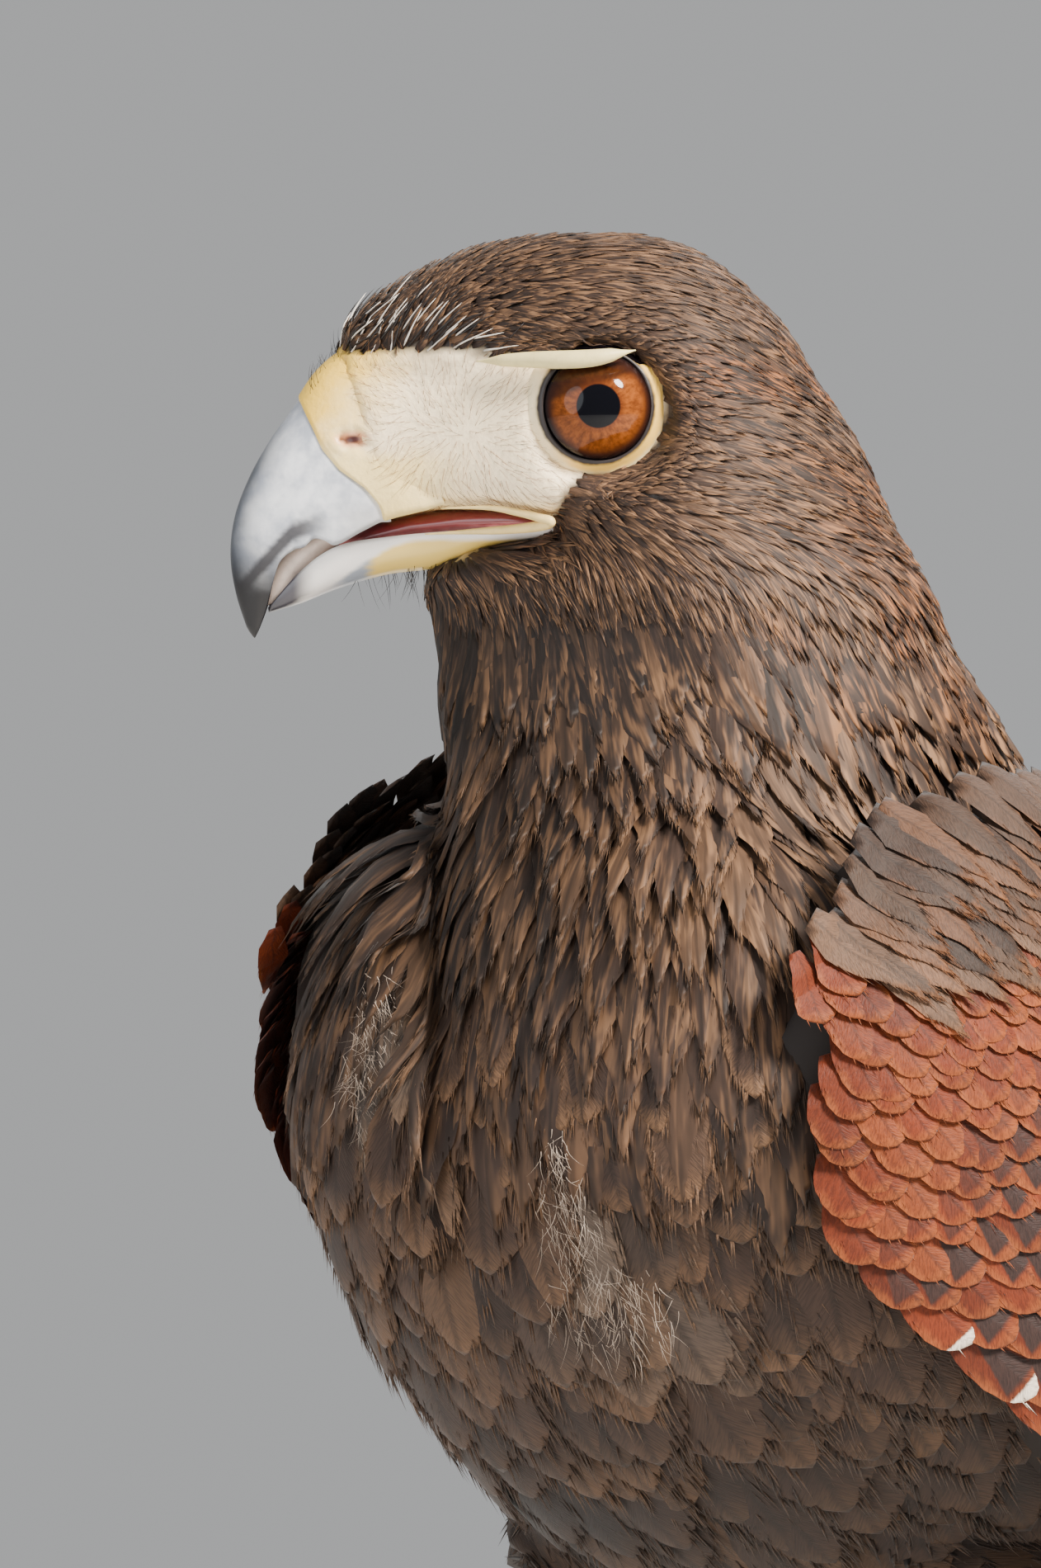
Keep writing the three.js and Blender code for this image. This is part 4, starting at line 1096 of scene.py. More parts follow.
def feather_material(name, streak=0.35, pale=0.2, lengthwise=False, rough=0.62):
    made, bench = new_material(name)
    blade = painted(bench, "blade")
    size = painted(bench, "size")
    luck = painted(bench, "luck", "Fac")
    along = blade.part("X")
    across = abs(blade.part("Y"))
    if lengthwise:
        barb = bench.vector(along * 0.7, blade.part("Y") * 1.6, luck * 50.0)
    else:
        slant = (along * size.part("X") - across * size.part("Y") * 1.1) * 1000.0
        barb = bench.vector(slant, blade.part("Y") * 3.0, luck * 50.0)
    barbs = bench.noise(barb, 3.2, 2.0, 0.6)
    if lengthwise:
        rim = barbs.step(0.46, 0.66) * along.step(0.15, 0.75) * 0.9 + along.step(0.8, 1.0) * 0.25
    else:
        edge = (across + 0.12 * barbs).step(0.34, 0.52)
        tip = (along + 0.1 * barbs).step(0.82, 1.02)
        rim = edge * along.step(0.35, 0.7) + tip
    shaft = 1 - across.step(0.015, 0.05)
    wedge = (along * 0.62 - across - 0.18 + 0.1 * barbs).step(0.0, 0.05) * (1 - along.step(0.78, 0.84))
    white_tip = (along + 0.03 * barbs).step(0.86, 0.89) * painted(bench, "white_tip", "Fac")
    white_root = (1 - (along + 0.05 * barbs).step(0.24, 0.32)) * painted(bench, "white_root", "Fac")
    black = (0.0, 0.0, 0.0, 1.0)
    fringe = painted(bench, "fringe", "Color")
    shade = bench.layered(
        painted(bench, "tint", "Color"),
        (black, (0.55 - luck).step(0.0, 0.8) * 0.55),
        (fringe, luck.step(0.6, 1.0) * pale),
        (fringe, rim * painted(bench, "fringe_share", "Fac")),
        ((0.006, 0.004, 0.003, 1), shaft * 0.35),
        (colour(44, 28, 24), wedge * painted(bench, "wedge", "Fac")),
        (colour(226, 214, 196), white_tip + white_root),
        (black, (barbs.step(0.35, 0.6) - 1) * -streak),
    )
    normal = bumped(bench, barbs, 0.35, 0.0004)
    finish_material(bench, Base_Color=shade, Roughness=rough, Normal=normal, Sheen_Weight=0.05,
                    Sheen_Roughness=0.4, Specular_IOR_Level=0.22)
    return made


def head_measures(bench):
    """Wires for ahead, aside and up, and for all three at once, in millimetres."""
    here = (bench.place() - tuple(in_room(HEAD_AT))) * 1000.0
    return here.dot(tuple(AHEAD)), abs(here.dot(tuple(TO_LEFT))), here.dot(tuple(UPWARD)), here


def wax_colour(bench, p, w, here):
    """Yellow over the cere, cream over the lores, yellow again at the corner of the mouth."""
    cloud = bench.noise(here, 0.3, 3.0, 0.6)
    yellow = (p * 0.16 + w * 0.10 + cloud * 1.4).step(4.6, 6.7)
    below = p.step(14.0, 26.0) * (0 - w + cloud * 3.0).step(5.0, 9.0)
    gape_near = (1 - (w + 13.5 + cloud).step(0.0, 3.6)) * p.step(2.0, 12.0)
    return bench.layered(
        colour(255, 232, 190), (colour(250, 202, 70), yellow), (colour(250, 216, 128), below * 0.8),
        (colour(236, 204, 120), gape_near * 0.7),
    )


def skin_material():
    made, bench = new_material("coat_shadow")
    p, _, w, here = head_measures(bench)
    pores = bench.noise(here, 1.3, 3.0, 0.6)
    wax = bench.mix(wax_colour(bench, p, w, here), colour(196, 160, 128), pores.step(0.45, 0.75) * 0.3)
    # Under the coat the skin is its feather tint darkened by nearly half, a painted shadow in the gaps
    # between feathers; bare skin is waxy yellow and cream
    shade = bench.layered(
        painted(bench, "tint", "Color"), ((0, 0, 0, 1), 0.45), (wax, painted(bench, "bare", "Fac"))
    )
    finish_material(bench, Base_Color=shade, Roughness=0.55, Normal=bumped(bench, pores, 0.3, 0.0004))
    return made


coat = feather_material("brown_feather")
head_coat = feather_material("head_feather", streak=0.4, pale=0.22, lengthwise=True)
store(skin.data, "bare", bare)
dress(skin, skin_material())

# %% Grow the coat
coat_pieces = []
for name, where, unwrap, shapes, spacing, variants in [
    ("coat_head_left", "grow_head_left", "unwrap_head", "small_feather", 0.0008, 4),
    ("coat_head_right", "grow_head_right", "unwrap_head", "small_feather", 0.0008, 4),
    ("coat_neck", "grow_neck", "unwrap_trunk", "neck_feather", 0.0025, 4),
    ("coat_breast_left", "grow_breast_left", "unwrap_trunk", "body_feather", 0.0044, 5),
    ("coat_breast_right", "grow_breast_right", "unwrap_trunk", "body_feather", 0.0044, 5),
    ("coat_back", "grow_back", "unwrap_trunk", "body_feather", 0.0052, 5),
    ("coat_leg", "grow_leg", "unwrap_trunk", "neck_feather", 0.0032, 4),
]:
    piece = grown(
        name, plumage, Skin=skin, Shapes=shape_sets[shapes], Where=where, Unwrap=unwrap, Spacing=spacing,
        Variants=variants, Material=coat if "breast" in name or "back" in name else head_coat, Stray=0.14,
    )
    coat_pieces.append(piece)

# %% Bristles on the face
def even_material(name, tone, rough):
    """One colour all over."""
    made, bench = new_material(name)
    finish_material(bench, Base_Color=tone, Roughness=rough)
    return made


dark_bristle = even_material("dark_bristle", colour(30, 24, 22), 0.5)
tan_bristle = even_material("tan_bristle", colour(132, 88, 48), 0.5)
white_bristle = even_material("white_bristle", colour(226, 216, 204), 0.5)
for name, where, spacing, length, width, lift, paint, seed in [
    ("face_hairs", "grow_face", 0.00075, 0.8, 0.045, 0.8, tan_bristle, 3),
    ("face_bristles", "grow_face", 0.0023, 1.0, 0.04, 1.2, dark_bristle, 5),
    ("forehead_dark", "grow_forehead", 0.0012, 1.7, 0.28, 2.2, dark_bristle, 7),
    ("forehead_white", "grow_forehead", 0.0014, 1.6, 0.3, 2.0, white_bristle, 9),
]:
    stray, variants = (0.16, 1) if "forehead" in name else (0.4, 3)
    piece = grown(
        name, plumage, Skin=skin, Shapes=shape_sets["hair"], Where=where, Unwrap="unwrap_head",
        Spacing=spacing, Seed=seed, Variants=variants, Length=length, Width=width, Lift=lift,
        Material=paint, Stray=stray,
    )
    coat_pieces.append(piece)

# %% [markdown]
# ## Strands of down and whiskers
# Here and there single strands matter: whiskers over the cere and under the jaw, and tufts of pale down
# where the breast feathers part. A second tree sets one hair on each of a list of roots, each with its own
# direction, length and curl. Loose curves would do the same in a render, but a solid spine survives export.

# %% The strand tree
def strand_tree():
    bench, wire = tree_with_inputs("strands", {
        "Roots": ("Object", None), "Shapes": ("Collection", None), "Material": ("Material", None),
    })
    points = bench.make("GeometryNodeMeshToPoints", {}, shape_of(bench, wire["Roots"]))
    points = keep(bench, points, "root", bench.make("GeometryNodeInputPosition", {}))
    blades = blades_on(bench, points, wire["Shapes"], 0)
    blade, size, way, out = [read(bench, name) for name in ("blade", "size", "way", "outward")]
    along = way.scaled(blade.part("X") * size.part("X"))
    across = way.cross(out).scaled(blade.part("Y") * size.part("Y"))
    rising = blade.part("Z") * size.part("Y") + size.part("Z") * (blade.part("X") ** 2.0)
    place = read(bench, "root") + along + across + out.scaled(rising)
    return finish_tree(bench, blades, place, wire["Material"])


strands = strand_tree()


def strand_roots(name, places, ways, outs, sizes):
    """Loose points that carry a direction, an outward direction and (length, width, curl) for each strand."""
    places, ways, outs = [np.asarray(v, float) for v in (places, ways, outs)]
    ways = ways / np.linalg.norm(ways, axis=1, keepdims=True)
    outs = outs - ways * np.sum(outs * ways, axis=1, keepdims=True)
    outs /= np.linalg.norm(outs, axis=1, keepdims=True)
    mesh = raw_mesh(name, in_room(places))
    for fact, values in [("way", ways), ("outward", outs), ("size", np.asarray(sizes) * MM)]:
        store(mesh, fact, values)
    turn = np.arctan2(places[:, 0], -places[:, 1]) / (2 * math.pi) + 0.5
    height = np.clip(places[:, 2] / 400, 0, 1)
    store(mesh, "root_flat", np.stack([turn, height, np.zeros(len(turn))], axis=-1))
    return bpy.data.objects.new(name, mesh)


# %% Down where the breast feathers part, and whiskers
CERE_WHISKERS = 70
JAW_WHISKERS = 46


def down_roots(random):
    places, ways, outs, sizes = [], [], [], []
    for centre, wide, tall, count in DOWN_TUFTS:
        gap = (spots - np.array(centre)) / [wide, wide, tall]
        near = np.argsort(np.linalg.norm(gap, axis=1))[:400]
        near = near[np.linalg.norm(gap[near], axis=1) < 1.6]
        for pick in random.choice(near, count):
            place = spots[pick] + normals[pick] * random.uniform(-0.6, 0.4)
            places.append(place + random.normal(size=3) * 0.6)
            ways.append(trunk_lie * 0.9 + normals[pick] * 0.25 + random.normal(size=3) * 0.3)
            outs.append(normals[pick] + random.normal(size=3) * 0.5)
            sizes.append((random.uniform(1.8, 4.4), random.uniform(0.05, 0.09), random.uniform(-2.5, 2.5)))
    return strand_roots("down_roots", places, ways, outs, sizes)


def whisker_roots(random):
    """Short bristles over the cere, and longer ones that hang under the lower jaw."""
    places, ways, outs, sizes = [], [], [], []
    for _ in range(CERE_WHISKERS):
        p, q = random.uniform(28, 37), random.uniform(-4.5, 4.5)
        w = 8.4 - max(p - 32, 0) * 1.1 - 0.05 * q * q
        places.append((p, q, w - 0.5))
        ways.append((random.uniform(0.1, 0.6), 0.1 * q + random.uniform(-0.3, 0.3), 1.0))
        outs.append((-1, 0, 0.2))
        sizes.append((random.uniform(1.6, 3.6), random.uniform(0.07, 0.12), random.uniform(-0.3, 1.2)))
    for _ in range(JAW_WHISKERS):
        p, q = random.uniform(20.5, 31), random.uniform(-5, 5)
        w = -20.3 - max(p - 27, 0) * 0.2
        places.append((p, q, w + 0.6))
        ways.append((random.uniform(-0.5, 0.3), 0.06 * q + random.uniform(-0.2, 0.2), -1.0))
        outs.append((1, 0, 0))
        sizes.append((random.uniform(2.5, 6.5), random.uniform(0.07, 0.13), random.uniform(-1.6, 0.8)))
    turned = [from_head(np.array(v)) - HEAD_AT for v in (ways, outs)]
    return strand_roots("whisker_roots", from_head(np.array(places)), *turned, sizes)


pale_down = even_material("white_down", colour(176, 158, 142), 0.7)
for name, roots, paint in [
    ("breast_down", down_roots(np.random.default_rng(5)), pale_down),
    ("whiskers", whisker_roots(np.random.default_rng(6)), dark_bristle),
]:
    coat_pieces.append(grown(name, strands, Roots=roots, Shapes=shape_sets["hair"], Material=paint))

# %% [markdown]
# ## Folded wings
# A folded wing is a curved sheet of feathers in tiers, from small scales at the wrist to long quills at the
# tip. It is easiest to lay it out flat first: a parameter sheet, with a along the wing and c up across it,
# whose points remember where they go on the bird. A third tree sets each feather on the flat sheet and
# then reads the folded place, so rows stay rows however the wing bends.

# %% The wing as a sheet
WING_SLOPE = math.radians(36.5)
WING_ROOT_Y = -5.5
WING_ROOT_Z = 279
WING_LENGTH = 350
WRAP_AT = 40
CORE_INSET = 1.8
CORE_SIDES = 32
# Rows: a, outer x, wrap in of the upper edge, of the left lower edge, of the right one, reach down, reach
# up, half thickness. The left wing hangs a little free of the breast; the right one is tucked in.
WING_ROWS = between([
    [-20, 48, 9, 9, 9, 9, 8, 4],
    [-14, 54, 11, 20, 14, 21, 18, 8],
    [-4, 59, 14, 18, 22, 31, 27, 12],
    [12, 62.5, 20, 12, 26, 35, 33, 13],
    [40, 65, 28, 8, 20, 36, 38, 11.5],
    [80, 64, 32, 6, 13, 35, 40, 9],
    [120, 59.5, 32, 6, 9, 33, 38, 6.5],
    [160, 51, 30, 5, 6, 29, 32, 4.5],
    [195, 43, 24, 4, 4, 24, 25, 3],
    [240, 34.5, 16, 3, 3, 18, 18, 2],
    [300, 25, 8, 3, 3, 12, 11, 2],
    [350, 19, 5, 2, 2, 8, 7, 2],
])


def beside_body(a, c, x):
    """Out to the side by x, a along the wing and c across it."""
    y = WING_ROOT_Y + a * math.cos(WING_SLOPE) + c * math.sin(WING_SLOPE)
    z = WING_ROOT_Z - a * math.sin(WING_SLOPE) + c * math.cos(WING_SLOPE)
    return np.stack([x, y, z], axis=-1)


def wing_outer(a, c, side):
    rows = WING_ROWS(a)
    wrap = np.where(c > 0, rows[..., 1], rows[..., 2 if side > 0 else 3])
    return rows[..., 0] - wrap * (c / WRAP_AT) ** 2


def wing_place(side):
    """For one wing, the rule that gives a point of its outer face and the direction straight out of it."""
    def placed(a, c):
        here = beside_body(a, c, wing_outer(a, c, side))
        along = beside_body(a + 0.5, c, wing_outer(a + 0.5, c, side)) - here
        up = beside_body(a, c + 0.5, wing_outer(a, c + 0.5, side)) - here
        out = np.cross(up, along)
        out /= np.linalg.norm(out, axis=-1, keepdims=True)
        return here * [side, 1, 1], out * np.sign(out[..., :1]) * [side, 1, 1]

    return placed


def parameter_sheet(name, first, second, placed):
    """A flat grid of (first, second) whose points carry their folded place and outward direction."""
    u, v = (grid.ravel() for grid in np.meshgrid(first, second, indexing="ij"))
    here, out = placed(u, v)
    rows, columns = len(first), len(second)
    faces = [
        (i * columns + j, i * columns + j + 1, (i + 1) * columns + j + 1, (i + 1) * columns + j)
        for i in range(rows - 1) for j in range(columns - 1)
    ]
    mesh = raw_mesh(name, [(x * MM, y * MM, 0.0) for x, y in zip(u, v)], faces)
    store(mesh, "folded", in_room(here))
    store(mesh, "outward", out)
    return bpy.data.objects.new(name, mesh)


def wing_core(side):
    """The flesh and bone that the wing's feathers root in."""
    rings = []
    for a in np.linspace(-17, 200, 40):
        low, high, thick = WING_ROWS(a)[4:7]
        narrowed = blend(1, 0.3, ease(a, 170, 200))
        angle = around(CORE_SIDES)
        here = np.full(CORE_SIDES, a)
        c = narrowed * np.where(np.sin(angle) > 0, high, low) * np.sin(angle)
        x = wing_outer(here, c, side) - CORE_INSET - 0.8 - thick + thick * np.cos(angle)
        rings.append(beside_body(here, c, x * side))
    return smooth(loft(f"wing_core_{side_name(side)}", rings))


# %% The tree that lays out rows
def row_tree():
    bench, wire = tree_with_inputs("feather_rows", {
        "Roots": ("Object", None), "Sheet": ("Object", None), "Shapes": ("Collection", None),
        "Variants": ("Int", 3), "Shingle": ("Float", -0.14), "Material": ("Material", None),
    })
    sheet = shape_of(bench, wire["Sheet"])
    points = bench.make("GeometryNodeMeshToPoints", {}, shape_of(bench, wire["Roots"]))
    points = keep(bench, points, "root", bench.make("GeometryNodeInputPosition", {}))
    points = keep(bench, points, "luck", chance(bench, 0.0, 1.0, 6), "FLOAT")
    blades = blades_on(bench, points, wire["Shapes"], chance(bench, 0, wire["Variants"] - 1, 8, "INT"))
    blade, size, levels, way = [read(bench, name) for name in ("blade", "size", "levels", "way")]
    along = blade.part("X") * size.part("X")
    across = blade.part("Y") * size.part("Y")
    beside = bench.vector(way.part("Y") * -1.0, way.part("X"), 0.0)
    flat = read(bench, "root") + way.scaled(along) + beside.scaled(across)
    near = blade.part("X").step(0.0, 0.25)
    far = blade.part("X").step(0.2, 1.0)
    height = levels.part("X") + (levels.part("Y") - levels.part("X")) * near
    height = height + (levels.part("Z") - levels.part("Y")) * far
    height = height + across * wire["Shingle"] + blade.part("Z") * size.part("Y")
    folded, outward = [nearest(bench, sheet, name, flat) for name in ("folded", "outward")]
    return finish_tree(bench, blades, folded + outward.unit().scaled(height), wire["Material"])


feather_rows = row_tree()


def row_roots(name, feathers):
    """A mesh of loose points, one for each feather, that carries the facts of its feather."""
    mesh = raw_mesh(name, [(f["a"] * MM, f["c"] * MM, 0.0) for f in feathers])
    store(mesh, "way", [(math.cos(f["turn"]), math.sin(f["turn"]), 0.0) for f in feathers])
    store(mesh, "size", [(f["length"] * MM, f["width"] * MM, 0.0) for f in feathers])
    store(mesh, "levels", [tuple(v * MM for v in f["levels"]) for f in feathers])
    store(mesh, "root_flat", [(f["a"] / 400 + 0.1, f["c"] / 120 + 0.5, 0.0) for f in feathers])
    for fact in ("tint", "fringe"):
        store(mesh, fact, [f[fact] for f in feathers])
    for fact in ("fringe_share", "wedge", "white_tip", "white_root"):
        store(mesh, fact, [f.get(fact, 0.0) for f in feathers])
    return bpy.data.objects.new(name, mesh)


# %% Where each wing feather goes
FLIGHT_DARK = tint_of(47, 37, 32)
PRIMARY_DARK = tint_of(34, 28, 26)
CHESTNUT_RIM = tint_of(156, 86, 42)
MANTLE_RIM = tint_of(112, 82, 58)
CHESTNUT_LIT = tint_of(102, 39, 13)
PALE_BROWN = tint_of(104, 76, 56)


def chestnut_share(a, c):
    """1 on the chestnut shoulder, 0 on the dark mantle above it and the dark coverts beyond it."""
    top = blend(-1.0, 17.0, ease(a, -18, -3))
    return (1 - ease(c, top - 1, top + 2)) * (1 - ease(a, 58, 70))


def covert(a, c, length, width, turn, levels, random, wedge=0.0, tip=0.0):
    share = float(chestnut_share(a, c))
    tone = CHESTNUT_LIT * random.uniform(0.82, 1.12)
    return {
        "a": a, "c": c,
        "length": length * random.uniform(0.92, 1.08), "width": width * random.uniform(0.94, 1.06),
        "turn": math.radians(turn + random.uniform(-4, 4)), "levels": levels,
        "tint": blend(blend(BROWN, GREY_BROWN, random.uniform(0.3, 1.0)), tone, share),
        "fringe": blend(MANTLE_RIM, CHESTNUT_RIM, share), "fringe_share": blend(0.35, 0.42, share),
        "wedge": wedge * share, "white_tip": tip, "chestnut": share,
    }


def wing_coverts(random):
    feathers = []
    a = -24.5
    row = 0
    while a < 66:
        share = ease(a, -10, 66)
        length, width = blend(9, 34, share), blend(5.4, 15, share)
        low, high = WING_ROWS(a)[4:6]
        low, high = low - 0.36 * width, high + 2.5
        count = max(int((low + high) / (width * 0.66)), 2)
        for i in range(count + 1):
            c = -low + (low + high) * (i + 0.5 * (row % 2)) / count
            if chestnut_share(a, c) < 0.5:
                continue
            wedge = float(ease(a, -6, 6)) * (random.random() < 0.8)
            turn = blend(-2, 12, (c + low) / (low + high)) - 34 * (1 - ease(a, -22, 16))
            tip = 0.8 * (i == 0) * (a > 2) * (row % 2 == 0)
            feathers.append(covert(
                a + random.uniform(-1.2, 1.2), c, length, width, turn,
                (-1.5, blend(-0.2, 0.6, share), blend(0.8, 3.2, share)), random, wedge, tip,
            ))
        a += blend(2.6, 9.5, share)
        row += 1
    return feathers


def mantle_feathers(random):
    """Soft brown feathers above the chestnut shoulder, paler in the row that meets it."""
    feathers = []
    for row, a in enumerate(np.arange(-24, 62, 3.2)):
        share = ease(a, -10, 62)
        top = blend(-3.0, 15.0, ease(a, -20, -3))
        high = WING_ROWS(a)[5] + 10
        for c in np.arange(top + 1.9 * (row % 2), high, 3.8):
            length, width = blend(13, 25, share), blend(5.5, 9.5, share)
            root_a, root_c = a + random.uniform(-1.5, 1.5), c + random.uniform(-1, 1)
            turn = blend(-14, 2, share) + random.uniform(-7, 7)
            levels = (-1.2, 0.4, blend(1.4, 3.2, share))
            feather = covert(root_a, root_c, length, width, turn, levels, random)
            pale = (1 - ease(c - top, 3, 9)) * 0.8
            paler = max(pale * random.uniform(0.6, 1), random.uniform(0, 0.35))
            feather["tint"] = blend(BROWN, PALE_BROWN, paler)
            feather["fringe"], feather["fringe_share"], feather["chestnut"] = WARM, 0.45, 0.0
            feathers.append(feather)
    return feathers


def great_coverts(random):
    feathers = []
    for a, length, width, level in [(66, 62, 19, 1.8), (80, 60, 20, 0.6)]:
        for i in range(11):
            t = i / 10
            feathers.append(covert(a + 5 * t, blend(-29, 30, t), length, width, blend(1, 2, t),
                                   (-3, level - 0.6, level + 1.4), random))
    for a0, a1, c0, c1, length, width, level in [
        (34, 52, 30, 36, 36, 13, 3.0), (50, 74, 34, 37, 48, 17, 3.4), (66, 92, 34, 35, 62, 21, 3.0),
    ]:
        for i in range(5):
            t = i / 4
            feathers.append(covert(blend(a0, a1, t), blend(c0, c1, t), length, width, blend(6, 0, t),
                                   (-2, 0.8, level), random))
    return feathers


def flight_feathers(random):
    feathers = []
    for count, a0, a1, c0, c1, tip0, tip1, tip_c0, tip_c1, width, low, high, dark in [
        (11, 96, 118, -26, 29, 196, 262, -18, 16, 23, -4.4, 0.6, FLIGHT_DARK),
        (8, 140, 165, -16, 0, 258, WING_LENGTH, -10, 0, 21, -5.6, -11.6, PRIMARY_DARK),
    ]:
        for i in range(count):
            t = i / (count - 1)
            a, c = blend(a0, a1, t), blend(c0, c1, t)
            reach, drop = blend(tip0, tip1, t ** 0.8) - a, blend(tip_c0, tip_c1, t) - c
            level = blend(low, high, t)
            feathers.append({
                "a": a, "c": c,
                "length": math.hypot(reach, drop), "width": width * random.uniform(0.97, 1.03),
                "turn": math.atan2(drop, reach), "levels": (level - 1.5, level, level),
                "tint": dark * random.uniform(0.9, 1.15), "fringe": MANTLE_RIM, "fringe_share": 0.35,
            })
    return feathers


# %% Dress both wings
wing_pieces = []
for side, name in [(1, "left"), (-1, "right")]:
    sheet = parameter_sheet(
        f"wing_sheet_{name}", np.arange(-32, 366, 4.0), np.arange(-48, 56, 3.0), wing_place(side)
    )
    random = np.random.default_rng(20)
    core = dress(wing_core(side), coat)
    all_coverts = wing_coverts(random) + mantle_feathers(random) + great_coverts(random)
    for part, feathers, shapes, variants in [
        ("coverts", [f for f in all_coverts if f["chestnut"] > 0.5 or f["a"] > 50], "covert", 5),
        ("mantle", [f for f in all_coverts if f["chestnut"] <= 0.5 and f["a"] <= 50], "neck_feather", 5),
        ("flight", flight_feathers(random), "quill", 3),
    ]:
        made = grown(f"wing_{part}_{name}", feather_rows, Roots=row_roots(f"roots_{part}_{name}", feathers),
                     Sheet=sheet, Shapes=shape_sets[shapes], Variants=variants, Material=coat)
        turn_outwards(made.data)
        wing_pieces.append(made)
    # The core is a darker brown than the feathers, a painted shade where it shows between them
    store(core.data, "tint", np.tile(BROWN * 0.8, (len(core.data.vertices), 1)))
    wing_pieces.append(core)

# %% [markdown]
# ## The tail
# Twelve broad feathers, the middle pair on top, black-brown with white at the root and the tip, and white
# coverts above and below. It uses the same tree with a sheet of its own.

# %% Tail sheet and feathers
TAIL_SLOPE = math.radians(33)
TAIL_ROOT_Y = 110
TAIL_ROOT_Z = 152
TAIL_LENGTH = 222


def tail_place(along, across):
    height = -9 * (along / TAIL_LENGTH) ** 2 - 0.004 * across * across
    y = TAIL_ROOT_Y + along * math.cos(TAIL_SLOPE) + height * math.sin(TAIL_SLOPE)
    z = TAIL_ROOT_Z - along * math.sin(TAIL_SLOPE) + height * math.cos(TAIL_SLOPE)
    out = np.tile([0.0, math.sin(TAIL_SLOPE), math.cos(TAIL_SLOPE)], (len(y), 1))
    return np.stack([across, y, z], axis=-1), out


def tail_core():
    rings = []
    sections = between([[0, 20, 14], [8, 20.5, 13.6], [20, 19.5, 11.5], [34, 17, 8.5], [48, 13, 5]])
    for along in np.linspace(1, 46, 16):
        half, tall = sections(along) - 2.0
        angle = around(CORE_SIDES)
        here, out = tail_place(np.full(CORE_SIDES, along), half * np.cos(angle))
        rings.append(here + out * (tall * np.sin(angle) - 1)[:, None])
    return smooth(loft("tail_core", rings))


def tail_feathers(random):
    feathers = []
    for pair in range(6):
        for side in (1, -1):
            order = pair * 2 + (0 if side > 0 else 1) if pair < 3 else pair + 3
            level = 3 - 1.08 * order
            feathers.append({
                "a": 0.0, "c": side * (3 + pair * 2.8), "turn": side * math.radians(0.4 + pair * 0.75),
                "length": TAIL_LENGTH * (1 - 0.006 * pair * pair), "width": 25.0, "levels": (level,) * 3,
                "tint": PRIMARY_DARK * random.uniform(0.85, 1.1), "fringe": MANTLE_RIM, "fringe_share": 0.1,
                "white_tip": 1.0, "white_root": 1.0,
            })
    return feathers


def tail_coverts(random):
    feathers = []
    for above in (True, False):
        for tier in range(3):
            for index in range(5):
                for side in (1, -1):
                    start, end = (10.5, 5.8 - 0.9 * index) if above else (-11.5, -9.5 + 0.5 * index)
                    feathers.append({
                        "a": -8.0 + 10 * tier, "c": side * (2 + index * 4.2),
                        "turn": side * math.radians(1 + index * 1.8),
                        "length": (54 if above else 70) - index * 4, "width": 15.0,
                        "levels": (start, blend(start, end, 0.4), end),
                        "tint": WHITE * random.uniform(0.85, 1.0), "fringe": BUFF, "fringe_share": 0.3,
                    })
    return feathers


tail_sheet = parameter_sheet("tail_sheet", np.arange(-16, 236, 4.0), np.arange(-42, 43, 3.0), tail_place)
random = np.random.default_rng(31)
core = dress(tail_core(), coat)
store(core.data, "tint", np.tile(WHITE, (len(core.data.vertices), 1)))
tail_pieces = [core]
for part, feathers, shapes, variants in [
    ("tail_flight", tail_feathers(random), "quill", 3),
    ("tail_coverts", tail_coverts(random), "body_feather", 5),
]:
    made = grown(part, feather_rows, Roots=row_roots(f"roots_{part}", feathers), Sheet=tail_sheet,
                 Shapes=shape_sets[shapes], Variants=variants, Material=coat, Shingle=0.0)
    turn_outwards(made.data)
    tail_pieces.append(made)

# %% [markdown]
# ## Legs, toes and claws
# Below the thigh a hawk is scaled: broad plates down the front of the leg and over the toes, small round
# scales elsewhere, and rough pads beneath. Tubes along the bones are melted into one body, as the skin was,
# and the plates are pressed into it where a rule on height or on distance along a toe says so. The small
# scales are only a tenth of a millimetre high, so the material draws those.

# %% Scaly legs
FOOT_X, FOOT_Y = 33.0, 46.0
TOE_HEIGHT = 4.3
SHANK_PATH = [(34.5, 61, 108), (34.5, 61, 103), (34.5, 62.5, 97), (34.5, 63.5, 93), (34.4, 62, 86),
              (34, 58.5, 72), (33.6, 54.5, 54), (33.3, 51, 36), (33.1, 48.5, 22), (33, 47, 12)]
SHANK_RADII = [4.6, 5, 6, 6.7, 6.0, 4.7, 4.4, 4.6, 5.5, 6.6]
# Toes: name, heading in degrees, length, reach of the claw, thickness
TOES = [("middle", 4, 47, 21, 4.9), ("inner", -34, 31, 26, 5.1), ("outer", 44, 38, 18, 4.5),
        ("hind", 188, 24, 28, 5.2)]
PLATE_LONG, TOE_PLATE_LONG = 4.4, 3.1
BALL_WIDE, BALL_LONG, BALL_TALL, BALL_HEIGHT = 9.0, 9.4, 8.0, 7.8
CLAW_RISE, CLAW_FALL = math.radians(38), math.radians(-40)
LEG_VOXEL = 0.0007


def limb(name, path, radii, sides=32, per_span=8):
    """A round body along points of the bird, with a radius at each, or a pair: across and up."""
    pairs = [r if isinstance(r, tuple) else (r, r) for r in radii]
    rows = between([[i, *place, *pair] for i, (place, pair) in enumerate(zip(path, pairs))])
    rings = []
    last = len(path) - 1
    for step in np.linspace(0, last, last * per_span + 1):
        x, y, z, wide, tall = rows(step)
        along = rows(min(step + 0.05, last))[:3] - rows(max(step - 0.05, 0))[:3]
        along /= np.linalg.norm(along)
        beside = np.cross(along, [0.0, 1.0, 0.0] if abs(along[2]) > 0.7 else UPWARD)
        beside /= np.linalg.norm(beside)
        over = np.cross(beside, along)
        turn = around(sides)[:, None]
        rings.append(np.array([x, y, z]) + wide * np.cos(turn) * beside + tall * np.sin(turn) * over)
    return loft(name, rings)


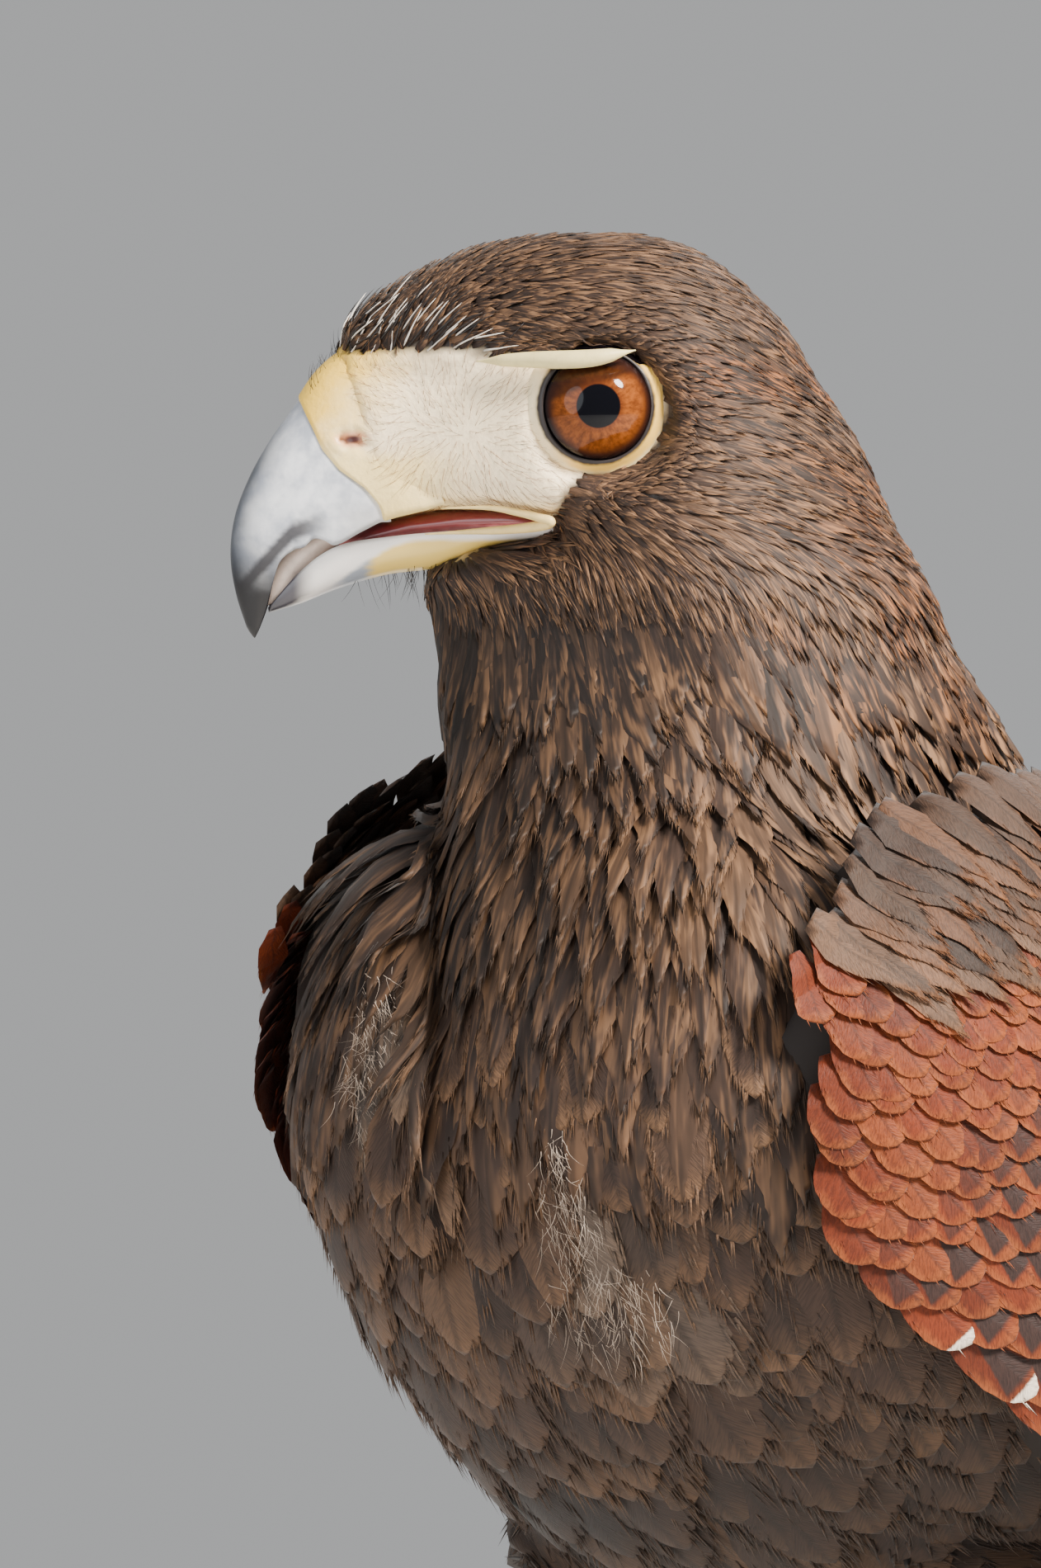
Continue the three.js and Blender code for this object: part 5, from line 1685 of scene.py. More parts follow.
def toe_way(heading):
    return np.array([math.sin(math.radians(heading)), -math.cos(math.radians(heading)), 0.0])


def toe(heading, length, thick):
    """A toe with swollen pads under its joints."""
    swell = [1.04, 0.92, 1.03, 0.88, 0.99, 0.84, 0.74, 0.5]
    path, radii = [], []
    for i, share in enumerate([0, 0.18, 0.36, 0.52, 0.68, 0.84, 0.98, 1.03]):
        height = TOE_HEIGHT + 3.2 * max(0.0, 1 - share * 3) ** 1.5 + 0.5 * math.sin(math.pi * min(share, 1))
        path.append(tuple(np.array([FOOT_X, FOOT_Y, height]) + toe_way(heading) * (4 + share * (length - 4))))
        radii.append(swell[i] * thick)
    return limb("toe", path, radii, 28, 6)


def claw(heading, length, reach, thick):
    """A claw: an arc that tapers to a point at the floor."""
    rise, fall = CLAW_RISE, CLAW_FALL

    def drop(turn):
        return (reach / (rise - turn)) * (math.cos(turn) - math.cos(rise)) + TOE_HEIGHT + 0.6

    while drop(fall) > 0:
        fall -= math.radians(0.25)
    radius = reach / (rise - fall)
    path, radii = [], []
    for share in np.linspace(-0.06, 1, 12):
        turn = rise + (fall - rise) * share
        out = radius * (math.sin(rise) - math.sin(turn))
        lift = radius * (math.cos(turn) - math.cos(rise))
        above = np.array([FOOT_X, FOOT_Y, TOE_HEIGHT + 0.7 + lift])
        path.append(tuple(above + toe_way(heading) * (length + 0.2 + out)))
        round_now = blend(thick * 0.62, 0.28, max(share, 0) ** 1.1)
        radii.append((round_now * 0.8, round_now))
    return limb("claw", path, radii, 20, 4)


def leg_body():
    """The left leg below the feathers."""
    ball = []
    ring = around(32)
    for turn in np.linspace(0.1, math.pi - 0.1, 16):
        x = FOOT_X + BALL_WIDE * math.sin(turn) * np.cos(ring)
        y = FOOT_Y + BALL_LONG * math.sin(turn) * np.sin(ring)
        ball.append(np.stack([x, y, np.full(32, BALL_HEIGHT + BALL_TALL * math.cos(turn))], axis=-1))
    parts = [limb("shank", SHANK_PATH, SHANK_RADII), loft("ball", ball)]
    parts += [toe(heading, length, thick) for _, heading, length, _, thick in TOES]
    made = joined("leg", parts)
    modified(made, "REMESH", mode="VOXEL", voxel_size=LEG_VOXEL)
    modified(made, "SMOOTH", factor=0.6, iterations=4)
    return made


def press_plates(made):
    """Grooves between the plates: across the front of the shank and over the tops of the toes."""
    spots, out = on_bird(points_of(made.data)), normals_of(made.data)
    plan = spots[:, :2] - [FOOT_X, FOOT_Y]
    far = np.hypot(plan[:, 0], plan[:, 1])
    on_toe = ease(far, 8, 10) * (1 - ease(spots[:, 2], 11, 13))
    bowed = spots[:, 2] + 0.12 * plan[:, 0] ** 2 * (spots[:, 2] > 14)
    shank_phase = np.abs((bowed / PLATE_LONG) % 1 - 0.5) * 2
    toe_phase = np.abs((far / TOE_PLATE_LONG) % 1 - 0.5) * 2
    front = ease(-out[:, 1], 0.15, 0.45) * ease(spots[:, 2], 13, 17) * (1 - on_toe)
    top = ease(out[:, 2], 0.25, 0.55) * on_toe
    groove = front * ease(shank_phase, 0.72, 1.0) + top * ease(toe_phase, 0.66, 1.0)
    plate = np.maximum(front, top)
    under = ease(-out[:, 2], 0.2, 0.6) * (spots[:, 2] < 6)
    rough = 0.18 * noise_at(spots, 2.2, 21) * under
    spots = spots + out * (0.25 * plate - 0.62 * groove + rough)[:, None]
    spots[:, 2] = np.maximum(spots[:, 2], 0.05)
    move_points(made.data, spots)
    store(made.data, "plate", plate)
    store(made.data, "groove", groove)
    return smooth(made)


def mirrored(made, name):
    """The same piece for the other side of the bird, with its faces still outwards."""
    mesh = made.data.copy()
    mesh.name = name
    spots = points_of(mesh) * [-1, 1, 1]
    mesh.vertices.foreach_set("co", spots.astype(np.float32).ravel())
    mesh.flip_normals()
    return shown(bpy.data.objects.new(name, mesh))


def leg_material():
    made, bench = new_material("yellow_scales")
    here = bench.place() * 1000.0
    cells, tone = [
        bench.make("ShaderNodeTexVoronoi", {"feature": feature}, here, Scale=0.62, out="Distance")
        for feature in ("DISTANCE_TO_EDGE", "F1")
    ]
    plate = painted(bench, "plate", "Fac")
    cloud = bench.noise(here, 0.12, 3.0, 0.6)
    shade = bench.layered(
        colour(216, 172, 62),
        (colour(232, 196, 96), cloud.step(0.3, 0.7)),
        (colour(196, 148, 50), tone.step(0.2, 0.8) * 0.3 * (1 - plate)),
        (colour(126, 92, 44), (1 - cells.step(0.0, 0.14)) * (1 - plate) * 0.7),
        (colour(120, 86, 40), painted(bench, "groove", "Fac") * 0.75),
    )
    height = cells.step(0.0, 0.3) * (1 - plate) + cloud * 0.1
    finish_material(bench, Base_Color=shade, Roughness=0.46, Normal=bumped(bench, height, 0.6, 0.0005))
    return made


def claw_material():
    made, bench = new_material("claw_horn")
    here = bench.place() * 1000.0
    grain = bench.noise(here * bench.vector(1.0, 0.25, 1.0), 0.8, 3.0, 0.6)
    shade = bench.mix(colour(22, 20, 22), colour(58, 54, 56), grain.step(0.45, 0.8))
    finish_material(bench, Base_Color=shade, Roughness=0.28, Normal=bumped(bench, grain, 0.1, 0.0003),
                    Coat_Weight=0.3, Coat_Roughness=0.15)
    return made


leg_left = press_plates(leg_body())
leg_left.name = "leg_left"
leg_right = mirrored(leg_left, "leg_right")
claws_left = smooth(joined("claws_left", [
    claw(heading, length, reach, thick) for _, heading, length, reach, thick in TOES
]))
claws_right = mirrored(claws_left, "claws_right")
scales, claw_paint = leg_material(), claw_material()
for made, paint in [
    (leg_left, scales), (leg_right, scales), (claws_left, claw_paint), (claws_right, claw_paint),
]:
    dress(made, paint)
    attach(made, "root")
for side, leg, claws in [("left", leg_left, claws_left), ("right", leg_right, claws_right)]:
    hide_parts(f"shank_{side}", *[f"toe_{side}_{name}" for name, *_ in TOES])
    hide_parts(*[f"claw_{side}_{name}" for name, *_ in TOES])
    print("leg", side, len(triangles_of(leg.data)), "claws", len(triangles_of(claws.data)))

# %% [markdown]
# ## The bill
# A hawk's bill is horn over bone, grown in one sheath: a smooth ridge, a cutting edge with a small bulge
# behind the hook, and a hollow roof inside. It could be carved from a block; here one section, swept from
# the face to the hook, gives the outer side, the sharp edge and the roof in one closed body. The cere is
# the same surface a little prouder, cut off along a slanting line.

# %% Upper jaw surface
UPPER_EDGE = between([
    [0, -6, -13.6], [1, 6, -13.7], [2, 14, -12.5], [3, 21.5, -12.9], [4, 26.4, -13.9], [5, 30.0, -15.6],
    [6, 33.4, -17.35], [6.5, 34.9, -16.7], [7, 36.2, -16.55], [7.5, 37.4, -17.6], [8, 38.6, -17.9],
    [9, 40.5, -19.5], [10, 41.4, -22.2], [11, 42.2, -25.4], [12, 43.5, -28.9],
])
BILL_SIDES = 72
ROOF_SHARE = 0.3
BILL_TIP = np.array([43.8, 0.0, -29.3])
NOSTRIL_AHEAD, NOSTRIL_UP = 31.2, -3.9


def upper_jaw_point(step, v):
    """v runs 0 at the left edge, 0.5 on the ridge, 1 at the right edge; steps run from face to hook."""
    rows = UPPER_JAW(step)
    top_x, top_z, half, ridge_round = rows[..., 0], rows[..., 1], rows[..., 4], rows[..., 5]
    edge = UPPER_EDGE(step)
    angle = math.pi * v
    s, c = np.sin(angle), np.cos(angle)
    tuck = 1 - 0.10 * (1 - ease(s, 0.0, 0.35)) * ease(step, 3, 6)
    aside = half * np.sign(c) * np.abs(c) ** ridge_round * tuck
    ahead = edge[..., 0] + (top_x - edge[..., 0]) * s
    up = edge[..., 1] + (top_z - edge[..., 1]) * s
    return np.stack([ahead, aside, up], axis=-1)


HORN_LINE = [(42, 6.5), (37.9, 0.4), (36.4, -2.6), (35.2, -5.2), (33.0, -7.8), (29.6, -10.2), (27.6, -12.6),
             (26.6, -18)]
CERE_LINE = [(37, 14), (33.4, 7), (28, 0), (24.6, -7), (21, -18)]


def ahead_of_line(points, line):
    """How far ahead of a line seen from the side, by height: positive towards the hook."""
    heights = np.array([w for _, w in line][::-1])
    places = np.array([p for p, _ in line][::-1])
    return points[..., 0] - np.interp(points[..., 2], heights, places)


def step_on_line(v, line):
    """For each v, the step where the jaw's surface crosses the line."""
    steps = np.linspace(2, 9, 700)
    found = []
    for one in v:
        gap = ahead_of_line(upper_jaw_point(steps, one), line)
        found.append(np.interp(0, gap, steps))
    return np.array(found)


def bill_side(count):
    """Places across the jaw, closer together at the two cutting edges and on the ridge."""
    t = np.linspace(0, 1, count)
    return t - 0.05 * np.sin(4 * math.pi * t) / (2 * math.pi)


def upper_bill():
    """Rings from under the cere to the hook: the outer side, then the hollow roof back to the start."""
    v = bill_side(BILL_SIDES)
    start = step_on_line(v, HORN_LINE) - 0.25
    roof_v = np.linspace(1, 0, 26)[1:-1]
    rings = []
    for t in np.linspace(0, 1, 96):
        steps = start + (12 - start) * t
        outer = upper_jaw_point(steps, v)
        outer = outer + (BILL_TIP - outer) * float(ease(t, 0.965, 1.0)) ** 1.5 * 0.96
        left_edge, right_edge = outer[0], outer[-1]
        across = right_edge + (left_edge - right_edge) * (1 - roof_v)[:, None]
        hollow = ROOF_SHARE * np.sin(math.pi * roof_v) ** 0.6 * (1 - 0.6 * t)
        ridge = outer[len(outer) // 2]
        middle = (left_edge + right_edge) / 2
        across = across + (ridge - middle) * hollow[:, None]
        inset = 0.75 * (1 - ease(t, 0, 0.05))
        ring = np.concatenate([outer, across])
        ring[:, 1] *= 1 - inset / max(np.abs(outer[:, 1]).max(), 1)
        ring[:, 2] -= inset * 0.6
        rings.append(from_head(ring))
    return smooth(loft("bill_upper", rings))


def cere():
    """The bare yellow saddle over the base of the bill, with a soft lip over the horn."""
    v = bill_side(64)
    front = step_on_line(v, HORN_LINE)
    rear = step_on_line(v, CERE_LINE) - 0.5
    rings = []
    for t in np.linspace(0, 1, 46):
        steps = rear + (front - rear) * t
        outer = upper_jaw_point(steps, v)
        lip = 0.42 * (1 - ease(t, 0.93, 1.0) * 0.95) * ease(t, 0.1, 0.6) - 0.9 * (1 - ease(t, 0.0, 0.3))
        middle = np.array([20.0, 0.0, -6.0])
        away = outer - middle
        away /= np.linalg.norm(away, axis=1)[:, None]
        outer = outer + away * (lip - 0.15)
        inner = outer[::-1] - away[::-1] * 1.6
        rings.append(from_head(np.concatenate([outer, inner])))
    return smooth(loft("cere", rings))


def dent_nostril(made):
    """Presses a slanting slit with a soft rim into each side of the cere."""
    spots = to_head(on_bird(points_of(made.data)))
    tilt = math.radians(-8)
    ahead, up = spots[:, 0] - NOSTRIL_AHEAD, spots[:, 2] - NOSTRIL_UP
    x = ahead * math.cos(tilt) + up * math.sin(tilt)
    z = up * math.cos(tilt) - ahead * math.sin(tilt)
    span = np.hypot(x / 2.3, z / 1.05)
    rim = 0.28 * np.exp(-((span - 1.25) / 0.3) ** 2)
    press = -1.5 * (1 - ease(span, 0.45, 1.0))
    for side in (1, -1):
        spots[:, 1] += side * (spots[:, 1] * side > 5) * (rim + press)
    move_points(made.data, from_head(spots))
    return made


# %% Lower jaw, mouth and tongue
def lower_bill():
    """A trough: the outer side, two cutting rims and a hollow floor where the tongue lies."""
    v = np.linspace(0, 1, 41)
    floor_v = np.linspace(1, 0, 23)[1:-1]
    rings = []
    for step in np.linspace(0.2, 5.97, 64):
        top_x, top_z, low_x, low_z, half = LOWER_JAW(step)[:5]
        angle = math.pi * v
        c, s = np.cos(angle), np.sin(angle)
        aside = half * np.sign(c) * np.abs(c) ** 0.72
        outer = [top_x + (low_x - top_x) * s, aside, top_z + (low_z - top_z) * s ** 0.8]
        outer = np.stack(outer, axis=-1)
        depth = 0.5 * (low_z - top_z) * np.sin(math.pi * floor_v) ** 0.5
        inner = [np.full(len(floor_v), top_x), -half * 0.93 * np.cos(math.pi * floor_v), top_z + depth]
        inner = np.stack(inner, axis=-1)
        rings.append(from_head(np.concatenate([outer, inner])))
    return smooth(loft("bill_lower", rings))


def mouth_lining():
    """The pink flesh that closes the mouth behind and beside the tongue."""
    rings = []
    for ahead, low, high, half in [
        (5.5, -15.0, -14.2, 11.0), (8, -15.8, -13.0, 12.0), (12, -16.0, -12.2, 10.3),
        (18, -16.4, -12.2, 8.0), (24, -17.0, -13.0, 6.2), (29, -17.8, -14.6, 4.8), (33, -18.6, -16.6, 3.4),
    ]:
        angle = around(24)
        rings.append(from_head(np.stack([
            np.full(24, ahead), half * np.cos(angle), (low + high) / 2 + (high - low) / 2 * np.sin(angle)
        ], axis=-1)))
    return smooth(loft("tongue", rings))


def gape(side):
    """The soft yellow flange round the corner of the mouth."""
    path = [(22, 9.3, -15.9, 0.3), (17, 11.0, -15.6, 0.45), (12, 12.9, -15.3, 0.55), (9, 14.4, -15.0, 0.65),
            (6.8, 15.8, -14.6, 0.7), (6.1, 16.5, -14.2, 0.65), (7.2, 16.3, -13.8, 0.6),
            (10, 15.4, -13.1, 0.5), (14, 13.9, -12.5, 0.45), (20, 11.2, -12.6, 0.35)]
    return tube(f"gape_{side_name(side)}", path, side, 14)


def tube(name, path, side, sides, rings_wanted=60):
    """A round tube on one side of the head, along rows of (ahead, aside, up, radius)."""
    rows = between([[i, p, side * q, w, r] for i, (p, q, w, r) in enumerate(path)])
    steps = np.linspace(0, len(path) - 1, rings_wanted)
    centres = rows(steps)
    rings = []
    for i, step in enumerate(steps):
        low, high = rows(max(step - 0.05, 0))[:3], rows(min(step + 0.05, len(path) - 1))[:3]
        along = (high - low) / np.linalg.norm(high - low)
        over = np.cross(along, [0.0, 1.0, 0.0])
        over /= np.linalg.norm(over)
        beside = np.cross(along, over)
        angle = around(sides)[:, None]
        ends = min(1.0, 0.25 + 4 * min(i, rings_wanted - 1 - i) / rings_wanted)
        ring = centres[i, :3] + centres[i, 3] * ends * (np.cos(angle) * over + np.sin(angle) * beside)
        rings.append(from_head(ring))
    return smooth(loft(name, rings))


# %% [markdown]
# ## Bill, cere and mouth finishes
# Horn is slate at the ridge and hook and paler at its base; the cere is waxy yellow above and cream below.
# The colours follow the head's own measures, which the materials work out from Object coordinates.

# %% Horn, cere and mouth materials
def horn_material():
    made, bench = new_material("bill_horn")
    p, q, w, here = head_measures(bench)
    down = 0 - w
    cloud = bench.noise(here, 0.22, 3.0, 0.55)
    streak = bench.noise(bench.vector(p * 0.5, q * 2.0, w * 0.9), 0.5, 3.0, 0.6)
    ridge = (1 - (q + streak * 1.6).step(1.6, 6.2)) * down.step(-3.0, 9.0)
    bend = bench.maths("MAXIMUM", p - 38.9, 0.0)
    from_edge = abs(w + 15.7 + (p - 38.9) * 0.3 + bend * 0.8)
    band = (1 - from_edge / 1.8 + streak * 0.5).step(0.2, 1.0) * p.step(33.5, 38.0)
    hook = (down + streak * 2.0 - (1 - abs(q - 3.0) / 3.0) * 1.5).step(16.0, 24.0)
    pale = (1 - (p + streak * 2.0).step(30.0, 36.0)) * down.step(11.0, 14.0)
    # The near-white ground is partly the pale horn and partly a painted sheen; grey clouds lie over it
    shade = bench.layered(
        colour(228, 228, 230),
        (colour(168, 172, 182), (cloud + streak * 0.5).step(0.5, 1.0)),
        (colour(44, 49, 57), ridge * 0.95),
        (colour(46, 43, 47), band * 0.92),
        (colour(18, 16, 19), hook),
        (colour(206, 200, 194), pale * 0.6),
    )
    finish_material(bench, Base_Color=shade, Roughness=0.3, Normal=bumped(bench, streak, 0.12, 0.0003),
                    Coat_Weight=0.2, Coat_Roughness=0.15, Specular_IOR_Level=0.3)
    return made


def lower_horn_material():
    made, bench = new_material("lower_horn")
    p, q, w, _ = head_measures(bench)
    streak = bench.noise(bench.vector(p * 0.4, q * 1.5, w * 1.5), 0.6, 3.0, 0.6)
    grey = bench.mix(colour(150, 155, 164), colour(214, 208, 206), (p + streak * 3.0).step(33.0, 36.5))
    below_rim = (0 - w) - bench.reach("SMOOTHSTEP", p, 22.0, 44.0, 15.4, 25.8)
    shade = bench.mix(colour(236, 200, 104), grey, (p + streak * 2.0).step(29.0, 31.0))
    shade = bench.mix(colour(240, 232, 224), shade, (below_rim + streak * 0.6).step(1.1, 2.0))
    shade = bench.layered(
        shade,
        (colour(64, 60, 66), (1 - (below_rim + streak).step(0.6, 1.6)) * p.step(35.5, 39.0)),
        (colour(48, 46, 52), (p + streak * 3.0).step(40.0, 44.5)),
    )
    finish_material(bench, Base_Color=shade, Roughness=0.34, Coat_Weight=0.3, Coat_Roughness=0.15)
    return made


def cere_material():
    made, bench = new_material("yellow_cere")
    p, _, w, here = head_measures(bench)
    slit = bench.vector((p - NOSTRIL_AHEAD) / 2.1, (w - NOSTRIL_UP) / 0.95, 0.0)
    span = bench.maths("LENGTH", slit, out="Value")
    shade = bench.layered(
        wax_colour(bench, p, w, here),
        (colour(205, 128, 96), (1 - span.step(0.6, 1.5)) * 0.75),
        (colour(92, 44, 38), 1 - span.step(0.25, 0.75)),
    )
    pores = bench.noise(here, 1.6, 2.0, 0.5)
    finish_material(bench, Base_Color=shade, Roughness=0.42, Normal=bumped(bench, pores, 0.25, 0.0003),
                    Coat_Weight=0.15, Coat_Roughness=0.3)
    return made


def soft_material(name, tone, rough, coat_weight=0.0):
    """A clouded colour with a fine grain."""
    made, bench = new_material(name)
    here = bench.place() * 1000.0
    cloud = bench.noise(here, 0.5, 3.0, 0.6)
    deeper = tuple(0.7 * part for part in tone[:3]) + (1,)
    shade = bench.mix(tone, deeper, cloud.step(0.4, 0.8) * 0.6)
    finish_material(bench, Base_Color=shade, Roughness=rough, Coat_Weight=coat_weight,
                    Normal=bumped(bench, bench.noise(here, 2.0, 2.0, 0.5), 0.2, 0.0002))
    return made


def palate():
    """The ivory roof that shows between the hook and the lower jaw."""
    rings = []
    path = between([
        [0, 32.0, -15.0, 1.6, 3.6], [1, 36.0, -17.2, 1.8, 3.4], [2, 39.0, -19.7, 2.1, 2.6],
        [3, 40.6, -22.6, 1.8, 1.6], [4, 41.8, -25.2, 0.6, 0.6],
    ])
    for step in np.linspace(0, 4, 40):
        p, w, thick, half = path(step)
        low, high = path(max(step - 0.1, 0)), path(min(step + 0.1, 4))
        along = (high - low)[:2] / np.hypot(*(high - low)[:2])
        angle = around(24)
        reach = thick * np.sin(angle)
        rings.append(from_head(np.stack([
            p - along[1] * reach, half * np.cos(angle), w + along[0] * reach
        ], axis=-1)))
    return smooth(loft("palate", rings))


def mouth_material():
    """Dark wine red above, a painted shade where the upper jaw shades the mouth, and pink below where the
    tongue lies.
    """
    made, bench = new_material("mouth_pink")
    p, _, w, here = head_measures(bench)
    cloud = bench.noise(here, 0.6, 2.0, 0.5)
    level = bench.reach("LINEAR", p, 10.0, 30.0, 14.2, 16.4)
    shade = bench.mix(colour(128, 44, 48), colour(206, 116, 116), ((0 - w) - level + cloud).step(0.3, 1.3))
    finish_material(bench, Base_Color=shade, Roughness=0.3, Coat_Weight=0.5, Coat_Roughness=0.1)
    return made


mouth_pink = mouth_material()
gape_yellow = soft_material("gape_yellow", colour(232, 200, 128), 0.45)
head_pieces = {}
for made, paint, node in [
    (upper_bill(), horn_material(), "bill_upper"), (dent_nostril(cere()), cere_material(), "cere"),
    (lower_bill(), lower_horn_material(), "bill_lower"), (mouth_lining(), mouth_pink, "tongue"),
]:
    made.name = f"{node}_dressed"
    dress(made, paint)
    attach(made, "root")
    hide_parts(node)
    head_pieces[node] = made
for side in (1, -1):
    flange = dress(gape(side), gape_yellow)
    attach(flange, "root")
roof = dress(palate(), soft_material("palate_ivory", colour(226, 204, 190), 0.4, 0.3))
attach(roof, "root")
print(list(head_pieces))

# %% [markdown]
# ## Eyes and lids
# The eye is a ball with a bulging clear front. A ring of dark pigment edges the brown iris, and a narrow
# yellow lid closes on the ball. The brow above is a bony shelf that gives a hawk its stern look. A second
# glass shell would look deeper, but a polished coat over a painted ball bakes cleanly and reads the same.

# %% Eyeballs
IRIS_RADIUS = 6.3
PUPIL_RADIUS = 2.75
CORNEA_BULGE = 0.55


def eyeball(side):
    """A ball about the eye's own axis, with a cornea that bulges where the iris is."""
    rings = []
    for turn in np.linspace(0.03, math.pi - 0.03, 60):
        radius = EYE_RADIUS * math.sin(turn)
        reach = EYE_RADIUS * math.cos(turn)
        bulge = CORNEA_BULGE * float(1 - ease(radius, 3.2, 6.8)) if turn < math.pi / 2 else 0.0
        angle = around(64)
        rings.append(from_head(np.stack([
            EYE_FORWARD + radius * np.cos(angle), np.full(64, side * (EYE_SIDE + reach + bulge)),
            EYE_UP + radius * np.sin(angle)
        ], axis=-1)))
    return smooth(loft(f"eye_{side_name(side)}_dressed", rings))


def from_eye(bench, p, w):
    """How far ahead of the eye's axis a point is, how far above it, and how far in all."""
    x, z = p - EYE_FORWARD, w - EYE_UP
    return x, z, bench.maths("SQRT", x * x + z * z)


def eye_material():
    made, bench = new_material("brown_eye")
    p, _, w, _ = head_measures(bench)
    x, z, span = from_eye(bench, p, w)
    turn = bench.maths("ARCTAN2", z, x)
    rays = bench.noise(bench.vector(turn * 5.0, span * 0.7, 0.0), 1.4, 3.0, 0.6)
    near_pupil = 1 - (span + rays * 0.5).step(PUPIL_RADIUS, PUPIL_RADIUS + 1.3)
    iris = bench.layered(
        colour(88, 43, 15),
        (colour(128, 68, 25), rays.step(0.3, 0.7)),
        # Painted shadow of the brow: the upper front of the iris is darkened
        (colour(30, 14, 8), (z + 0.33 * x + 0.4 * rays).step(2.3, 3.5) * 0.85),
        (colour(74, 34, 16), near_pupil * 0.7),
        (colour(40, 20, 14), (span + rays * 0.4).step(IRIS_RADIUS - 0.9, IRIS_RADIUS + 0.3)),
        (colour(8, 6, 8), span.step(IRIS_RADIUS - 0.1, IRIS_RADIUS + 0.5)),
    )
    shade = bench.mix(colour(4, 4, 8), iris, span.step(PUPIL_RADIUS - 0.08, PUPIL_RADIUS + 0.12))
    finish_material(bench, Base_Color=shade, Roughness=0.1, Coat_Weight=0.2, Coat_Roughness=0.02,
                    Specular_IOR_Level=0.1)
    return made


eye_paint = eye_material()
for side, name in [(1, "left"), (-1, "right")]:
    ball = dress(eyeball(side), eye_paint)
    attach(ball, "root")
    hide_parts(f"eye_{name}")

# %% Lids
LID_PROFILE = [(6.9, 0.25), (7.15, 0.5), (7.45, 0.66), (7.8, 0.72), (8.2, 0.58), (8.6, 0.26), (9.1, -0.3),
               (9.6, -1.2), (8.8, -2.0), (7.4, -1.6), (6.8, -0.6)]
LID_SIDES = 96


def lid(side):
    """A ring closed on the ball: its inner edge is dark and thin, its outer slope yellow and soft."""
    rings = []
    for angle in around(LID_SIDES):
        stretch = 1 + 0.03 * math.cos(angle) - 0.02 * math.cos(2 * angle)
        ring = []
        for radius, stand in LID_PROFILE:
            near = min(radius, EYE_RADIUS - 0.05)
            level = EYE_SIDE + math.sqrt(EYE_RADIUS ** 2 - near ** 2)
            level = max(level, EYE_SIDE + math.sqrt(EYE_RADIUS ** 2 - 7.9 ** 2)) if radius > 7.9 else level
            puff = 0.12 * math.sin(7 * angle + radius) * float(ease(radius, 7.8, 9))
            up = EYE_UP + radius * math.sin(angle)
            tucked = 2.6 * float(ease(up, 5.2, 6.6)) * (radius > 7.3)
            ring.append((EYE_FORWARD + radius * stretch * math.cos(angle),
                         side * (level + stand + puff - tucked), up))
        rings.append(ring)
    points = from_head(np.array(rings)).reshape(-1, 3)
    made = new_mesh(f"lid_{side_name(side)}", points, tube_faces(LID_SIDES, len(LID_PROFILE), closed=True))
    turn_outwards(made.data)
    return smooth(made)


def lid_material():
    made, bench = new_material("eye_lid")
    p, _, w, here = head_measures(bench)
    x, _, span = from_eye(bench, p, w)
    cloud = bench.noise(here, 0.9, 2.0, 0.5)
    gold = bench.mix(colour(230, 184, 84), colour(236, 214, 170), x.step(2.0, 7.0))
    shade = bench.layered(
        colour(30, 20, 18),
        (gold, (span + cloud * 0.3 - x * 0.04).step(7.4, 7.9)),
        (colour(236, 218, 178), (span + cloud * 0.6).step(8.3, 9.1) * 0.8),
    )
    finish_material(bench, Base_Color=shade, Roughness=0.5, Normal=bumped(bench, cloud, 0.2, 0.0003))
    return made


lid_paint = lid_material()
for side in (1, -1):
    ring = dress(lid(side), lid_paint)
    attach(ring, "root")

# %% Brow shelf
BROW_PATH = [(15.5, 14.2, 6.0, 0.3), (12.8, 15.9, 6.1, 0.7), (9, 18.0, 6.2, 1.0), (5, 20.0, 6.2, 1.15),
             (1, 21.0, 6.4, 1.1), (-2.0, 20.9, 6.9, 0.8), (-4.6, 20.1, 7.4, 0.3)]
brow_paint = soft_material("brow_cream", colour(226, 206, 144), 0.5)
for side in (1, -1):
    shelf = dress(tube(f"brow_{side_name(side)}", BROW_PATH, side, 20), brow_paint)
    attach(shelf, "root")

# %% Pieces take their place
made_here = {made.name for made in bpy.context.scene.objects if made.name not in loaded_names}
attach(skin, "root")
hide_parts("head", "neck", "torso", "thigh_left", "thigh_right")
for piece in coat_pieces + wing_pieces + tail_pieces:
    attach(piece, "root")
for piece in wing_pieces:
    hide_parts("wing_left" if piece.name.endswith("left") else "wing_right")
for piece in tail_pieces:
    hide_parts("tail")

SLOTS = [
    ("wing_coverts", "rufous_plumage"), ("tail", "tail_plumage"), ("leg", "yellow_skin"),
    ("cere", "yellow_skin"), ("gape", "yellow_skin"), ("brow", "yellow_skin"), ("lid", "yellow_skin"),
    ("bill", "bill_horn"),
    ("claw", "claw_horn"), ("palate", "mouth"), ("tongue", "mouth"), ("mouth", "mouth"), ("eye", "eye"),
]
for piece in bpy.context.scene.objects:
    if piece.get("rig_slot") or piece.type != "MESH" or piece.name not in made_here:
        continue
    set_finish(piece, next((slot for start, slot in SLOTS if piece.name.startswith(start)), "dark_plumage"))

# %% [markdown]
# ## Floor, light and camera
# The bird stands on a plain pale floor in soft studio light. The camera looks square at the left side of
# the turned head from far off, as a long lens does, and frames only the head and breast.

